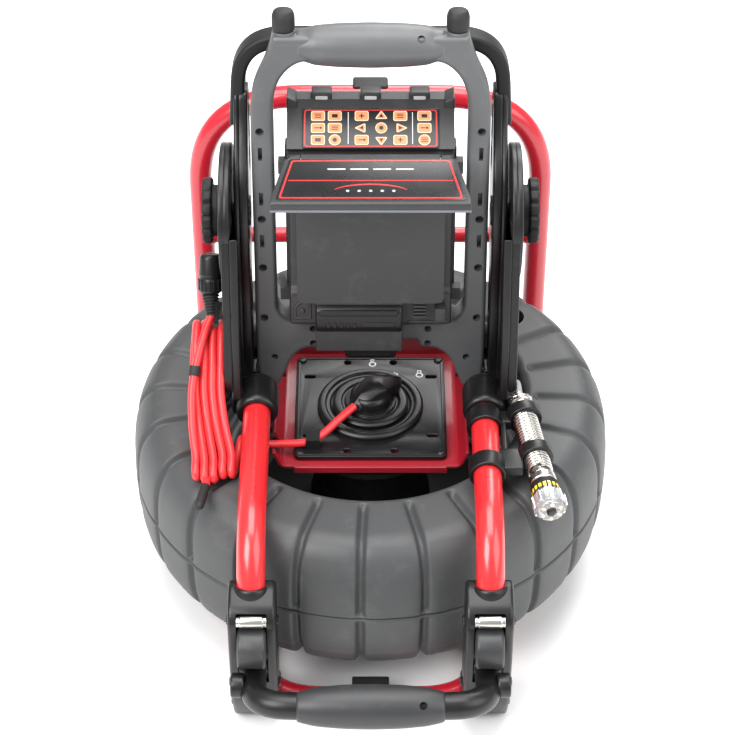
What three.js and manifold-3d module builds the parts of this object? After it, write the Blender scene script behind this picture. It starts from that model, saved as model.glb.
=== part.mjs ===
import * as THREE from "three";
import { mergeVertices } from "three/addons/utils/BufferGeometryUtils.js";
import Module from "manifold-3d";

// Millimetres. X right, Y back, Z up. The drum axis is the vertical line x = 0, y = DRUM_Y.
const DRUM_Y = 53.5;
const MID_Z = 110;
const DRUM_R = 225;
const DRUM_HALF = 76;
const OPENING_R = 145;
const GROOVES = 24;
const GROOVE_W = 8;
const GAP = 0.3;

const TUBE_X = 104.5;
const TUBE_H = 95;
const TUBE_R = 12.7;
const LOOP_R = 11.1;
const LOOP_HALF = 168;
const LOOP_REAR = 225;
const LOOP_FRONT = -228;
const LOOP_TOP = 256;
const LOOP_LOW = -99.4;
const CROSS_H = 88;
const CROSS_R = 8;

const LEAN = 9;
const FOOT_B = 19;
const FOOT_H = 80;
const PIVOT_L = 175;
const PIVOT_B = 46.4;
const PIVOT_H = 252.8;
const POST_IN = 83.5;
const POST_OUT = 106.5;
const HOOD_Y = -27;
const HOOD_Z = 240;

const PLATE = 142;
const PLATE_TOP = 57;

const SPRING_A = [137, -38, 99];
const SPRING_B = [160, -186, 93];
const CABLE_R = 3.75;
const PUSH_R = 4.2;

const wasm = await Module();
wasm.setup();
const rad = THREE.MathUtils.degToRad;
const group = new THREE.Group();
group.name = "drain_inspection_camera";

const COLOURS = {
  drum: 0x58595b, black: 0x1b1b1c, red: 0xd41f2c, crimson: 0x8f1624, grey: 0x63666a,
  dark: 0x3c3d3f, rubber: 0x151515, steel: 0xb9b6ae, cable: 0xe8412e, push: 0x8b8d90,
  glass: 0x101214, clear: 0xd8dde0, board: 0x1d5a33, orange: 0xf0915c,
};

function toSolid(geometry) {
  const bare = new THREE.BufferGeometry();
  bare.setAttribute("position", geometry.attributes.position);
  if (geometry.index) bare.setIndex(geometry.index);
  const merged = mergeVertices(bare, 1e-4);
  const corners = merged.index.array;
  const kept = [];
  for (let i = 0; i < corners.length; i += 3) {
    const [a, b, c] = corners.slice(i, i + 3);
    if (a !== b && b !== c && c !== a) kept.push(a, b, c);
  }
  const mesh = new wasm.Mesh({
    numProp: 3,
    vertProperties: Float32Array.from(merged.attributes.position.array),
    triVerts: Uint32Array.from(kept),
  });
  return new wasm.Manifold(mesh);
}

function box(x0, x1, y0, y1, z0, z1) {
  const geometry = new THREE.BoxGeometry(x1 - x0, y1 - y0, z1 - z0);
  geometry.translate((x0 + x1) / 2, (y0 + y1) / 2, (z0 + z1) / 2);
  return toSolid(geometry);
}

function cylinder(radius, from, to, sides = 32, endRadius = radius) {
  const a = new THREE.Vector3(...from);
  const b = new THREE.Vector3(...to);
  const axis = b.clone().sub(a);
  const geometry = new THREE.CylinderGeometry(endRadius, radius, axis.length(), sides);
  const turn = new THREE.Quaternion().setFromUnitVectors(new THREE.Vector3(0, 1, 0), axis.clone().normalize());
  geometry.applyQuaternion(turn);
  geometry.translate(...a.add(b).multiplyScalar(0.5).toArray());
  return toSolid(geometry);
}

function lathe(points, sides = 72) {
  const profile = points.map(([r, z]) => new THREE.Vector2(r, z));
  profile.push(profile[0].clone());
  const geometry = new THREE.LatheGeometry(profile, sides);
  geometry.rotateX(Math.PI / 2);
  const solid = toSolid(geometry);
  return solid.volume() < 0 ? flip(geometry) : solid;
}

function flip(geometry) {
  const turned = geometry.clone();
  const index = Array.from(turned.index.array);
  for (let i = 0; i < index.length; i += 3) {
    [index[i], index[i + 1]] = [index[i + 1], index[i]];
  }
  turned.setIndex(index);
  return toSolid(turned);
}

function latheAlong(points, from, to, sides = 28) {
  const a = new THREE.Vector3(...from);
  const axis = new THREE.Vector3(...to).sub(a);
  const profile = points.map(([r, t]) => new THREE.Vector2(r, t));
  profile.push(profile[0].clone());
  const geometry = new THREE.LatheGeometry(profile, sides);
  const turn = new THREE.Quaternion().setFromUnitVectors(new THREE.Vector3(0, 1, 0), axis.normalize());
  geometry.applyQuaternion(turn);
  geometry.translate(...a.toArray());
  const solid = toSolid(geometry);
  return solid.volume() < 0 ? flip(geometry) : solid;
}

// Outline in the Y/Z plane pushed out along X.
function slabX(points, x0, x1, holes = []) {
  const shape = new THREE.Shape(points.map(([y, z]) => new THREE.Vector2(y, z)));
  for (const hole of holes) shape.holes.push(hole);
  const geometry = new THREE.ExtrudeGeometry(shape, { depth: x1 - x0, bevelEnabled: false, curveSegments: 10 });
  geometry.rotateY(Math.PI / 2);
  geometry.rotateX(Math.PI / 2);
  geometry.translate(x0, 0, 0);
  return toSolid(geometry);
}

// Outline in the X/Z plane pushed out along Y.
function slabY(shape, y0, y1) {
  const geometry = new THREE.ExtrudeGeometry(shape, { depth: y1 - y0, bevelEnabled: false, curveSegments: 8 });
  geometry.rotateX(Math.PI / 2);
  geometry.translate(0, y1, 0);
  return toSolid(geometry);
}

function outline(points) {
  return new THREE.Shape(points.map(([x, z]) => new THREE.Vector2(x, z)));
}

function tube(points, radius, steps = 48, sides = 16, tension = 0.5) {
  const path = points.map((p) => new THREE.Vector3(...p));
  const curve = new THREE.CatmullRomCurve3(path, false, "catmullrom", tension);
  const circle = new THREE.Shape();
  for (let i = 0; i < sides; i += 1) {
    const a = (i / sides) * Math.PI * 2;
    const spot = [Math.cos(a) * radius, Math.sin(a) * radius];
    if (i === 0) circle.moveTo(...spot);
    else circle.lineTo(...spot);
  }
  const geometry = new THREE.ExtrudeGeometry(circle, { steps, extrudePath: curve, bevelEnabled: false });
  const solid = toSolid(geometry);
  return solid.volume() < 0 ? flip(mergeVertices(geometry.deleteAttribute("normal"), 1e-4)) : solid;
}

// Straight runs joined by true arcs, as a bent metal tube.
function bent(points, radius, bend, sides = 18, arcSteps = 8) {
  const p = points.map((q) => new THREE.Vector3(...q));
  const centres = [p[0]];
  for (let i = 1; i < p.length - 1; i += 1) {
    const back = p[i - 1].clone().sub(p[i]).normalize();
    const ahead = p[i + 1].clone().sub(p[i]).normalize();
    const reach = (Array.isArray(bend) ? bend[i - 1] : bend);
    const start = p[i].clone().addScaledVector(back, reach);
    const end = p[i].clone().addScaledVector(ahead, reach);
    const curve = new THREE.QuadraticBezierCurve3(start, p[i], end);
    centres.push(...curve.getPoints(arcSteps));
  }
  centres.push(p[p.length - 1]);
  return sweep(centres, radius, sides);
}

function sweep(centres, radius, sides) {
  const vertices = [];
  const faces = [];
  let normal = null;
  centres.forEach((centre, i) => {
    const before = centres[Math.max(0, i - 1)];
    const after = centres[Math.min(centres.length - 1, i + 1)];
    const tangent = after.clone().sub(before).normalize();
    if (!normal) {
      const seed = Math.abs(tangent.z) < 0.9 ? new THREE.Vector3(0, 0, 1) : new THREE.Vector3(1, 0, 0);
      normal = seed.cross(tangent).normalize();
    }
    normal = normal.addScaledVector(tangent, -normal.dot(tangent)).normalize();
    const other = tangent.clone().cross(normal);
    for (let k = 0; k < sides; k += 1) {
      const a = (k / sides) * Math.PI * 2;
      const spot = centre.clone().addScaledVector(normal, Math.cos(a) * radius);
      spot.addScaledVector(other, Math.sin(a) * radius);
      vertices.push(spot.x, spot.y, spot.z);
    }
  });
  const rings = centres.length;
  for (let i = 0; i < rings - 1; i += 1) {
    for (let k = 0; k < sides; k += 1) {
      const a = i * sides + k;
      const b = i * sides + ((k + 1) % sides);
      faces.push(a, b, b + sides, a, b + sides, a + sides);
    }
  }
  for (let k = 1; k < sides - 1; k += 1) {
    faces.push(0, k + 1, k);
    const last = (rings - 1) * sides;
    faces.push(last, last + k, last + k + 1);
  }
  const geometry = new THREE.BufferGeometry();
  geometry.setAttribute("position", new THREE.BufferAttribute(new Float32Array(vertices), 3));
  geometry.setIndex(faces);
  return toSolid(geometry);
}

// The docked screen, its frame and the dock lean back together: local z runs up the posts.
function lean(solid) {
  return solid.rotate([-LEAN, 0, 0]).translate([0, FOOT_B, FOOT_H]);
}

function mirrorX(solid) {
  return solid.mirror([1, 0, 0]);
}

function addPart(name, solid, colour, metal = 0, rough = 0.55) {
  const placed = solid.translate([0, DRUM_Y, MID_Z]);
  const mesh = placed.getMesh();
  const geometry = new THREE.BufferGeometry();
  geometry.setAttribute("position", new THREE.BufferAttribute(Float32Array.from(mesh.vertProperties), 3));
  geometry.setIndex(Array.from(mesh.triVerts));
  geometry.computeVertexNormals();
  const material = new THREE.MeshStandardMaterial({ color: colour, metalness: metal, roughness: rough });
  const part = new THREE.Mesh(geometry, material);
  part.name = name;
  group.add(part);
}

function grooveCutters() {
  const inner = [[156, 71.5], [201, 71.5], [214, 60], [220, 40], [220, 4]];
  const outer = [[240, 4], [240, 90], [150, 90]];
  const profile = [...inner, ...outer];
  const step = 360 / GROOVES;
  const cutters = [];
  for (let i = 0; i < GROOVES; i += 1) {
    const up = slabY(outline(profile), -GROOVE_W / 2, GROOVE_W / 2);
    const down = up.mirror([0, 0, 1]);
    cutters.push(up.add(down).rotate([0, 0, -92.4 + i * step]));
  }
  return wasm.Manifold.union(cutters);
}

function drumShells() {
  const cutters = grooveCutters();
  const upper = lathe([
    [DRUM_R, GAP / 2], [224, 34], [220, 54], [211, 69], [199, DRUM_HALF], [150, DRUM_HALF],
    [OPENING_R, 71], [OPENING_R, 52], [148, 52], [148, 67], [200, 67], [212, 48], [216, GAP / 2],
  ], 48);
  const recess = cylinder(14, [136, 110, 60], [136, 110, 90], 24);
  addPart("drum_upper_shell", upper.subtract(cutters).subtract(recess), COLOURS.drum, 0, 0.6);
  const lower = lathe([
    [DRUM_R, -GAP / 2], [216, -GAP / 2], [212, -48], [200, -67], [62, -67],
    [62, -DRUM_HALF], [199, -DRUM_HALF], [211, -69], [220, -54], [224, -34],
  ], 48);
  addPart("drum_lower_shell", lower.subtract(cutters), COLOURS.drum, 0, 0.6);
}

function drumHub() {
  const hub = lathe([
    [15.5, -72], [61.6, -72], [61.6, -62], [110, -66.6], [110, -60], [58, -50], [52, -20], [52, 20],
    [74, 30], [74, 36], [46, 36], [46, -40], [20, -44], [15.5, -44],
  ], 30);
  addPart("drum_hub", hub, COLOURS.black, 0, 0.5);
  const coil = lathe([
    [118, -56], [124, -63], [176, -63], [196, -55], [204, -36], [200, -14], [186, -6], [150, -4], [126, -10],
    [118, -30],
  ], 30);
  addPart("push_cable_coil", coil, COLOURS.push, 0, 0.5);
}

function axle() {
  addPart("drum_axle", cylinder(11, [0, 0, -88], [0, 0, 44.7], 32), COLOURS.steel, 0.9, 0.3);
  const bearing = lathe([[11.3, -70], [15.2, -70], [15.2, -46], [11.3, -46]], 24);
  addPart("axle_bearing", bearing, COLOURS.steel, 0.9, 0.35);
}

function halfLoop(radius) {
  return bent([
    [1, LOOP_FRONT, LOOP_LOW], [-104, LOOP_FRONT, LOOP_LOW], [-108, -120, LOOP_LOW],
    [-LOOP_HALF, 40, LOOP_LOW], [-LOOP_HALF, LOOP_REAR, LOOP_LOW], [-LOOP_HALF, LOOP_REAR, LOOP_TOP],
    [1, LOOP_REAR, LOOP_TOP],
  ], radius, [60, 36, 60, 60, 103], 10, 5);
}

function baseLoop() {
  const left = halfLoop(LOOP_R);
  const bar = cylinder(CROSS_R, [-LOOP_HALF, LOOP_REAR, CROSS_H], [LOOP_HALF, LOOP_REAR, CROSS_H], 20);
  addPart("base_loop", left.add(mirrorX(left)).add(bar), COLOURS.red, 0.1, 0.35);
  const yoke = box(-150, 150, -16, 16, -94.5, -88.3);
  const boss = lathe([[0, -94.5], [24, -94.5], [24, -82], [11.3, -82], [11.3, -88.3], [0, -88.3]], 32);
  const fat = halfLoop(LOOP_R + GAP);
  addPart("base_crossmember", yoke.add(boss).subtract(fat).subtract(mirrorX(fat)), COLOURS.black, 0.3, 0.45);
}

function pads() {
  const saddle = (y, z, inner) => {
    const block = box(-17, 17, y - 15, y + 15, z - 15, z + 15);
    const bore = cylinder(inner + GAP, [-30, y, z], [30, y, z], 24);
    return block.subtract(bore).subtract(box(-30, 30, y - 8, y + 8, z - 40, z));
  };
  const rear = box(-17, 17, LOOP_REAR - 4, LOOP_REAR + 15, LOOP_TOP - 12, LOOP_TOP + 14);
  const rearBore = cylinder(LOOP_R + GAP, [-30, LOOP_REAR, LOOP_TOP], [30, LOOP_REAR, LOOP_TOP], 24);
  addPart("rubber_pad_rear", rear.subtract(rearBore), COLOURS.rubber, 0, 0.8);
  addPart("rubber_pad_front", saddle(LOOP_FRONT, LOOP_LOW, LOOP_R).subtract(box(-30, 30, -300, 0, -200, -110)),
    COLOURS.rubber, 0, 0.8);
}

function frontTube(radius) {
  return bent([
    [TUBE_X, -33, TUBE_H], [TUBE_X, -216, TUBE_H], [TUBE_X, -246, 40], [TUBE_X, -246, 12],
  ], radius, [44, 12], 14, 5);
}

function frontTubes() {
  const right = frontTube(TUBE_R);
  addPart("front_tube_right", right, COLOURS.red, 0.1, 0.3);
  addPart("front_tube_left", mirrorX(right), COLOURS.red, 0.1, 0.3);
}

function hubBracket() {
  const sheet = slabY(outline([
    [-91, 68], [-87.8, 68], [-81, 51.5], [81, 51.5], [87.8, 68], [91, 68], [83.6, 48.3], [-83.6, 48.3],
  ]), -78, 84);
  const cableNotch = box(-96, -74, -72, -50, 54, 80);
  const lip = box(-82, 82, -80, -77, 40, 51.5);
  const back = slabX([[82, 48.3], [85, 48.3], [97, 78], [94, 78]], -82, 82);
  const slot = box(-30, 30, 80, 110, 56, 100);
  const bore = cylinder(16, [0, 0, 40], [0, 0, 60], 32);
  const window = box(-60, 60, 40, 62, 40, 60);
  addPart("hub_bracket", sheet.add(lip).add(back).subtract(slot).subtract(bore).subtract(window)
    .subtract(cableNotch), COLOURS.crimson, 0.3, 0.4);
  let plate = box(-PLATE / 2, PLATE / 2, -PLATE / 2, PLATE / 2, 51.8, PLATE_TOP);
  for (const sx of [-1, 1]) {
    for (const sy of [-1, 1]) {
      plate = plate.add(cylinder(4, [sx * 65.5, sy * 65.5, 55], [sx * 65.5, sy * 65.5, 58.2], 10));
      plate = plate.subtract(cylinder(3, [sx * 22, sy * 63, 50], [sx * 22, sy * 63, 60], 10));
      plate = plate.subtract(box(sx * 58 - 5, sx * 58 + 5, sy * 42 - 2, sy * 42 + 2, 50, 60));
    }
  }
  plate = plate.subtract(cylinder(16, [0, 0, 50], [0, 0, 60], 32));
  addPart("hub_plate", plate, COLOURS.black, 0.1, 0.45);
  const ring = lathe([[14, 57.3], [50, 57.3], [50, 60.5], [47, 62], [41, 62], [40, 60], [14, 60]], 30);
  addPart("slip_ring_housing", ring, COLOURS.black, 0.1, 0.4);
  const arm = slabY(outline([[0, 64], [39, 64], [39, 68], [28, 78], [10, 84], [0, 84]]), -9, 9).rotate([0, 0, 42]);
  const disc = lathe([[0, 60.3], [36, 60.3], [36, 63], [30, 65], [24, 65], [23.5, 76], [16, 84], [0, 86]], 30);
  const stem = cylinder(13, [0, 0, 46], [0, 0, 61], 24);
  addPart("drum_lock_knob", disc.add(arm).add(stem), COLOURS.black, 0, 0.35);
}

function sideArms() {
  const disc = cylinder(62, [125.3, PIVOT_B, PIVOT_H], [131, PIVOT_B, PIVOT_H], 36);
  const blade = slabX([
    [-14, 266], [-36, 180], [-50, 128], [-50, 116], [-22, 108], [-10, 100], [40, 92], [60, 86], [212, 80],
    [236, 78], [238, 98], [212, 102], [90, 118], [80, 150], [106, 236],
  ], 125.3, 131);
  const frontWall = slabX([[-15, 266], [-9, 262], [-26, 180], [-42, 112], [-52, 108], [-38, 180]], 118.4, 126);
  const socket = box(92.2, 124, -52, -16, 79, 118);
  const bore = cylinder(TUBE_R + GAP, [TUBE_X, -80, TUBE_H], [TUBE_X, -32, TUBE_H], 24);
  const crossHole = cylinder(CROSS_R + GAP, [120, LOOP_REAR, CROSS_H], [140, LOOP_REAR, CROSS_H], 24);
  const axleHole = cylinder(7.3, [110, PIVOT_B, PIVOT_H], [140, PIVOT_B, PIVOT_H], 20);
  const ring = lathe([[58, 0], [62, 0], [62, 5], [58, 5]], 36).rotate([0, 90, 0])
    .translate([130.5, PIVOT_B, PIVOT_H]);
  const arm = disc.add(blade).add(frontWall).add(socket).add(ring)
    .subtract(bore).subtract(crossHole).subtract(axleHole);
  addPart("side_arm_right", arm, COLOURS.black, 0.1, 0.4);
  addPart("side_arm_left", mirrorX(arm), COLOURS.black, 0.1, 0.4);
}

function pivotKnobs() {
  let knob = latheAlong([
    [0, -14], [7, -14], [7, 0.4], [22, 0.4], [22, 11], [29, 12], [30, 14], [30, 19], [27, 21], [14, 21],
    [12, 18], [0, 18],
  ], [131, PIVOT_B, PIVOT_H], [140, PIVOT_B, PIVOT_H], 20);
  for (let i = 0; i < 12; i += 1) {
    const a = (i / 12) * Math.PI * 2;
    const y = PIVOT_B + Math.cos(a) * 31.4;
    const z = PIVOT_H + Math.sin(a) * 31.4;
    knob = knob.subtract(cylinder(2.6, [141, y, z], [155, y, z], 6));
  }
  addPart("pivot_knob_right", knob, COLOURS.black, 0, 0.45);
  addPart("pivot_knob_left", mirrorX(knob), COLOURS.black, 0, 0.45);
}

function dockArms() {
  const side = slabX([
    [-14, -10], [10, -10], [14, 6], [18, 60], [26, 120], [44, 150], [50, 190], [50, 250], [46, 304], [20, 304],
    [10, 250], [-20, 215], [-26, 175], [-22, 140], [-14, 100], [-16, 40],
  ], 110, 123);
  const pocket = slabX([
    [28, 196], [42, 200], [43, 250], [40, 296], [25, 296], [20, 250], [22, 214],
  ], 106, 118);
  const hole = cylinder(7.3, [100, 0, PIVOT_L], [130, 0, PIVOT_L], 24);
  const lug = box(107, 112, -12, 10, -9, 12);
  const pin = cylinder(4, [80, 0, 2], [114, 0, 2], 20);
  const arm = lean(side.subtract(pocket).subtract(hole).add(lug).add(pin));
  addPart("dock_arm_right", arm, COLOURS.black, 0.1, 0.4);
  addPart("dock_arm_left", mirrorX(arm), COLOURS.black, 0.1, 0.4);
  const bow = bent([
    [-116.5, 33, 304.4], [-116.5, 33, 331], [116.5, 33, 331], [116.5, 33, 304.4],
  ], 10, [20, 20], 12, 5);
  addPart("dock_crossbar", lean(bow), COLOURS.black, 0.1, 0.4);
}

function frameOutline() {
  const right = [
    [POST_OUT - 20, -6], [POST_OUT - 10, -7], [POST_OUT - 2, 2], [POST_OUT, 24], [POST_OUT, 286],
    [103, 304], [92, 328], [87, 344], [86, 350], [66, 350],
  ];
  const left = right.map(([x, z]) => [-x, z]).reverse();
  const lower = [
    [-80, 10], [-74, 26], [-62, 36], [-46, 37], [-44, 45], [44, 45], [46, 37], [62, 36], [74, 26], [80, 10],
  ];
  return outline([...right, ...left, ...lower]);
}

function monitorFrame() {
  const shape = frameOutline();
  const opening = new THREE.Path([
    [-POST_IN, 76], [-74, 64], [74, 64], [POST_IN, 76], [POST_IN, 290], [78, 312], [64, 327], [-64, 327],
    [-78, 312], [-POST_IN, 290],
  ].map(([x, z]) => new THREE.Vector2(x, z)).reverse());
  shape.holes.push(opening);
  let frame = slabY(shape, -13, 13);
  for (const z of [260, 172.5, 122.5, 69.5]) {
    for (const sx of [-1, 1]) frame = frame.subtract(cylinder(3.6, [sx * 99, -20, z], [sx * 99, -5, z], 10));
  }
  for (const z of [238, 193, 150]) {
    for (const sx of [-1, 1]) frame = frame.subtract(box(sx * 99 - 2, sx * 99 + 2, -20, -5, z - 6, z + 6));
  }
  for (const [x, z] of [[53.3, 42], [53.3, 57.5], [89.5, 27]]) {
    for (const sx of [-1, 1]) frame = frame.subtract(cylinder(3.2, [sx * x, -20, z], [sx * x, -5, z], 10));
  }
  for (const sx of [-1, 1]) {
    frame = frame.subtract(cylinder(4.3, [sx * 76, 0, 2], [sx * 115, 0, 2], 20));
    frame = frame.add(cylinder(10, [sx * 76, 0, 346], [sx * 76, 0, 352.2], 24));
  }
  const grip = latheAlong([
    [0, -64], [14, -64], [17, -56], [20, 0], [17, 56], [14, 64], [0, 64],
  ], [0, 0, 338], [1, 0, 338], 18);
  frame = frame.add(grip).subtract(cylinder(3.2, [44, -30, 344], [44, -10, 344], 16));
  frame = frame.subtract(box(-26, 26, -30, -5.5, 30, 60));
  addPart("monitor_frame", lean(frame), COLOURS.grey, 0.05, 0.5);
  const bumper = lathe([[0, 352.5], [9.5, 352.5], [10.2, 356], [10.2, 366], [8, 371], [0, 373]], 20);
  addPart("bumper_right", lean(bumper.translate([76, 0, 0])), COLOURS.rubber, 0, 0.8);
  addPart("bumper_left", lean(bumper.translate([-76, 0, 0])), COLOURS.rubber, 0, 0.8);
}

function monitorBody() {
  const shell = slabX([
    [-6, 72], [30, 72], [48, 88], [50, 262], [42, 274], [27, 273.4], [-10, 242], [-6, 238],
  ], -75, 75);
  const pocket = slabX([[-20, 76], [28, 76], [44, 90], [46, 260], [30, 266], [-7, 236], [-20, 236]], -71, 71);
  let body = shell.subtract(pocket);
  for (const x of [-44, 0, 44]) body = body.add(box(x - 9, x + 9, 30, 42, 270, 279));
  for (const sx of [-1, 1]) {
    for (const z of [84, 214]) {
      const lug = box(74, 83.2, -4, 8, z, z + 12);
      body = body.add(sx > 0 ? lug : mirrorX(lug));
    }
  }
  addPart("monitor_housing", lean(body), COLOURS.dark, 0, 0.5);
  const board = box(-62, 62, 18, 20, 84, 224).add(box(-30, 30, 12, 18.5, 130, 190));
  const stand = box(-60, -54, 19, 43.7, 90, 96);
  addPart("main_board", lean(board.add(stand)), COLOURS.board, 0, 0.5);
  let front = slabX([[-30, 72], [-6.3, 72], [-6.3, 238], [-22, 236], [-24, 226], [-24, 110], [-30, 105]], -74, 74);
  const mouth = slabX([[-40, 99], [-14, 110], [-14, 204], [-40, 214]], -65, 65);
  const sight = box(-57.6, 57.6, -20, 0, 112, 200);
  const bay = box(-50.3, 29.3, -40, -12, 60, 100.3);
  front = front.subtract(mouth).subtract(sight).subtract(bay);
  for (let i = 0; i < 5; i += 1) front = front.subtract(box(39, 51, -40, -26, 85 + i * 3.6, 86.6 + i * 3.6));
  front = front.subtract(box(58.7, 68.3, -40, -25.5, 81.7, 94.3));
  for (const sx of [-1, 1]) {
    const lug = slabX([[-31, 236], [-27, 233], [-12, 232], [-12, 237.5], [-27, 244.6], [-31, 243]], 62, 72);
    front = front.add(sx > 0 ? lug : mirrorX(lug));
  }
  const pinBore = cylinder(2.3, [-80, HOOD_Y, HOOD_Z], [80, HOOD_Y, HOOD_Z], 12);
  addPart("monitor_bezel", lean(front.subtract(pinBore)), COLOURS.dark, 0, 0.5);
  addPart("display_panel", lean(box(-60, 60, -6, -1, 110, 202)), COLOURS.glass, 0, 0.2);
  addPart("display_window", lean(box(-57.3, 57.3, -9, -6.3, 112.3, 199.7)), COLOURS.glass, 0, 0.08);
  const pack = slabX([
    [-46, 76], [-40, 70], [-18, 66], [-12.3, 68], [-12.3, 100], [-40, 100], [-46, 95],
  ], -50, 29);
  addPart("battery_pack", lean(pack), COLOURS.black, 0, 0.4);
  const flapOutline = outline([[59, -29.6], [68, -29.6], [68, -28.6], [67.2, -25.8], [59, -25.8]]);
  const flap = toSolid(new THREE.ExtrudeGeometry(flapOutline, { depth: 12, bevelEnabled: false })).translate([0, 0, 82]);
  addPart("port_cover", lean(flap), COLOURS.rubber, 0, 0.7);
  let latch = box(-24, 24, -22, -5.8, 31, 57.5).add(box(-20, 20, -24, -16, 33, 54));
  for (let i = 0; i < 4; i += 1) latch = latch.subtract(box(-18, 18, -26, -22.6, 34 + i * 5, 36.5 + i * 5));
  addPart("dock_latch", lean(latch), COLOURS.black, 0, 0.4);
}

function hoodParts() {
  const flare = outline([
    [-74, -13], [74, -13], [75, -28], [87, -92], [87, -98.5], [-87, -98.5], [-87, -92], [-75, -28],
  ]);
  const mask = toSolid(new THREE.ExtrudeGeometry(flare, { depth: 100, bevelEnabled: false })).translate([0, 0, 180]);
  let hood = slabX([
    [-98, 225], [-98, 233.5], [-30, 244.2], [-27, 244.9], [-27, 240], [-32, 239.6], [-92, 229.5], [-92, 225],
  ], -90, 90).intersect(mask);
  for (const sx of [-1, 1]) {
    const a = [sx * 76, -30, 0];
    const b = [sx * 87, -95, 0];
    const wing = new THREE.Shape([
      [a[0], a[1]], [b[0], b[1]], [b[0] - sx * 2.6, b[1]], [a[0] - sx * 1.2, a[1]],
    ].map(([x, y]) => new THREE.Vector2(x, y)));
    const wall = toSolid(new THREE.ExtrudeGeometry(wing, { depth: 100, bevelEnabled: false })).translate([0, 0, 180]);
    const side = slabX([[-97, 226], [-96, 233], [-31, 243], [-34, 230], [-60, 222]], -95, 95);
    hood = hood.add(wall.intersect(side));
  }
  for (const sx of [-1, 1]) {
    hood = hood.subtract(box(Math.min(sx * 61.7, sx * 75), Math.max(sx * 61.7, sx * 75), -33.5, -5, 230, 250));
  }
  hood = hood.add(cylinder(4.6, [-61.6, HOOD_Y, HOOD_Z], [61.6, HOOD_Y, HOOD_Z], 16));
  const bore = cylinder(2.3, [-95, HOOD_Y, HOOD_Z], [95, HOOD_Y, HOOD_Z], 12);
  addPart("sun_hood", lean(hood.subtract(bore)), COLOURS.dark, 0, 0.5);
  addPart("hood_pin", lean(cylinder(2, [-72, HOOD_Y, HOOD_Z], [72, HOOD_Y, HOOD_Z], 12)), COLOURS.steel, 0.9, 0.3);
}

function keypad() {
  let pad = box(-61, 61, 1, 44, 0.3, 1.9);
  const columns = [-47, -32, -8, 9.5, 26.5, 48];
  const rows = [36, 23.5, 11];
  for (const x of columns) {
    for (const y of rows) pad = pad.add(box(x - 6, x + 6, y - 4.4, y + 4.4, 1.5, 2.9));
  }
  const placed = pad.rotate([40.3, 0, 0]).translate([0, -9.4, 242.6]);
  addPart("keypad_overlay", lean(placed), COLOURS.black, 0, 0.4);
}

function carryHandle() {
  const block = slabX([
    [-229, 58], [-240, 60], [-262, 54], [-272, 42], [-270, -20], [-262, -70], [-240, -110],
    [-204, -110], [-204, -84], [-228, -80],
  ], 82.5, 124.5);
  const tubeBore = frontTube(TUBE_R + GAP).add(cylinder(TUBE_R + GAP, [TUBE_X, -246, 11.6], [TUBE_X, -246, 20], 16));
  const fork = box(90, 117, -300, -261, -34, 50.5).add(cylinder(12.8, [90, -266, -14], [117, -266, -14], 28));
  const innerCorner = box(80, 104, -216, -200, -112, -96);
  const bracket = block.subtract(tubeBore).subtract(mirrorX(halfLoop(LOOP_R + GAP))).subtract(fork)
    .subtract(innerCorner);
  addPart("handle_bracket_right", bracket, COLOURS.black, 0, 0.45);
  addPart("handle_bracket_left", mirrorX(bracket), COLOURS.black, 0, 0.45);
  const pin = cylinder(5.5, [90.3, -268, 44], [116.7, -268, 44], 20);
  addPart("latch_pin_right", pin, COLOURS.steel, 0.9, 0.3);
  addPart("latch_pin_left", mirrorX(pin), COLOURS.steel, 0.9, 0.3);
  const lever = slabX([[-262, 36], [-280, 37], [-289, 31], [-293, 20], [-291, 8], [-284, 6], [-262, 8]], 91, 116);
  addPart("thumb_latch_right", lever, COLOURS.grey, 0, 0.35);
  addPart("thumb_latch_left", mirrorX(lever), COLOURS.grey, 0, 0.35);
  const arm = bent([
    [103.5, -263.6, -14], [103.5, -292, -12], [98, -324, 0], [40, -326, 0],
  ], 12, [16, 26], 10, 4);
  const lobeHole = cylinder(5, [90, -296, -6], [130, -296, -6], 20);
  const lobe = cylinder(11, [110, -296, -6], [122, -296, -6], 24).subtract(lobeHole);
  const grip = latheAlong([
    [0, -60], [16.5, -60], [20, -30], [21, 0], [20, 30], [16.5, 60], [0, 60],
  ], [0, -326, 0], [1, -326, 0], 18);
  const handle = arm.add(mirrorX(arm)).add(lobe).add(mirrorX(lobe)).add(grip)
    .subtract(cylinder(3.2, [45, -326, 12], [45, -360, 30], 16));
  addPart("carry_handle", handle, COLOURS.grey, 0, 0.5);
}

function alongCamera(t) {
  const a = new THREE.Vector3(...SPRING_A);
  const b = new THREE.Vector3(...SPRING_B);
  return a.lerp(b, t).toArray();
}

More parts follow.
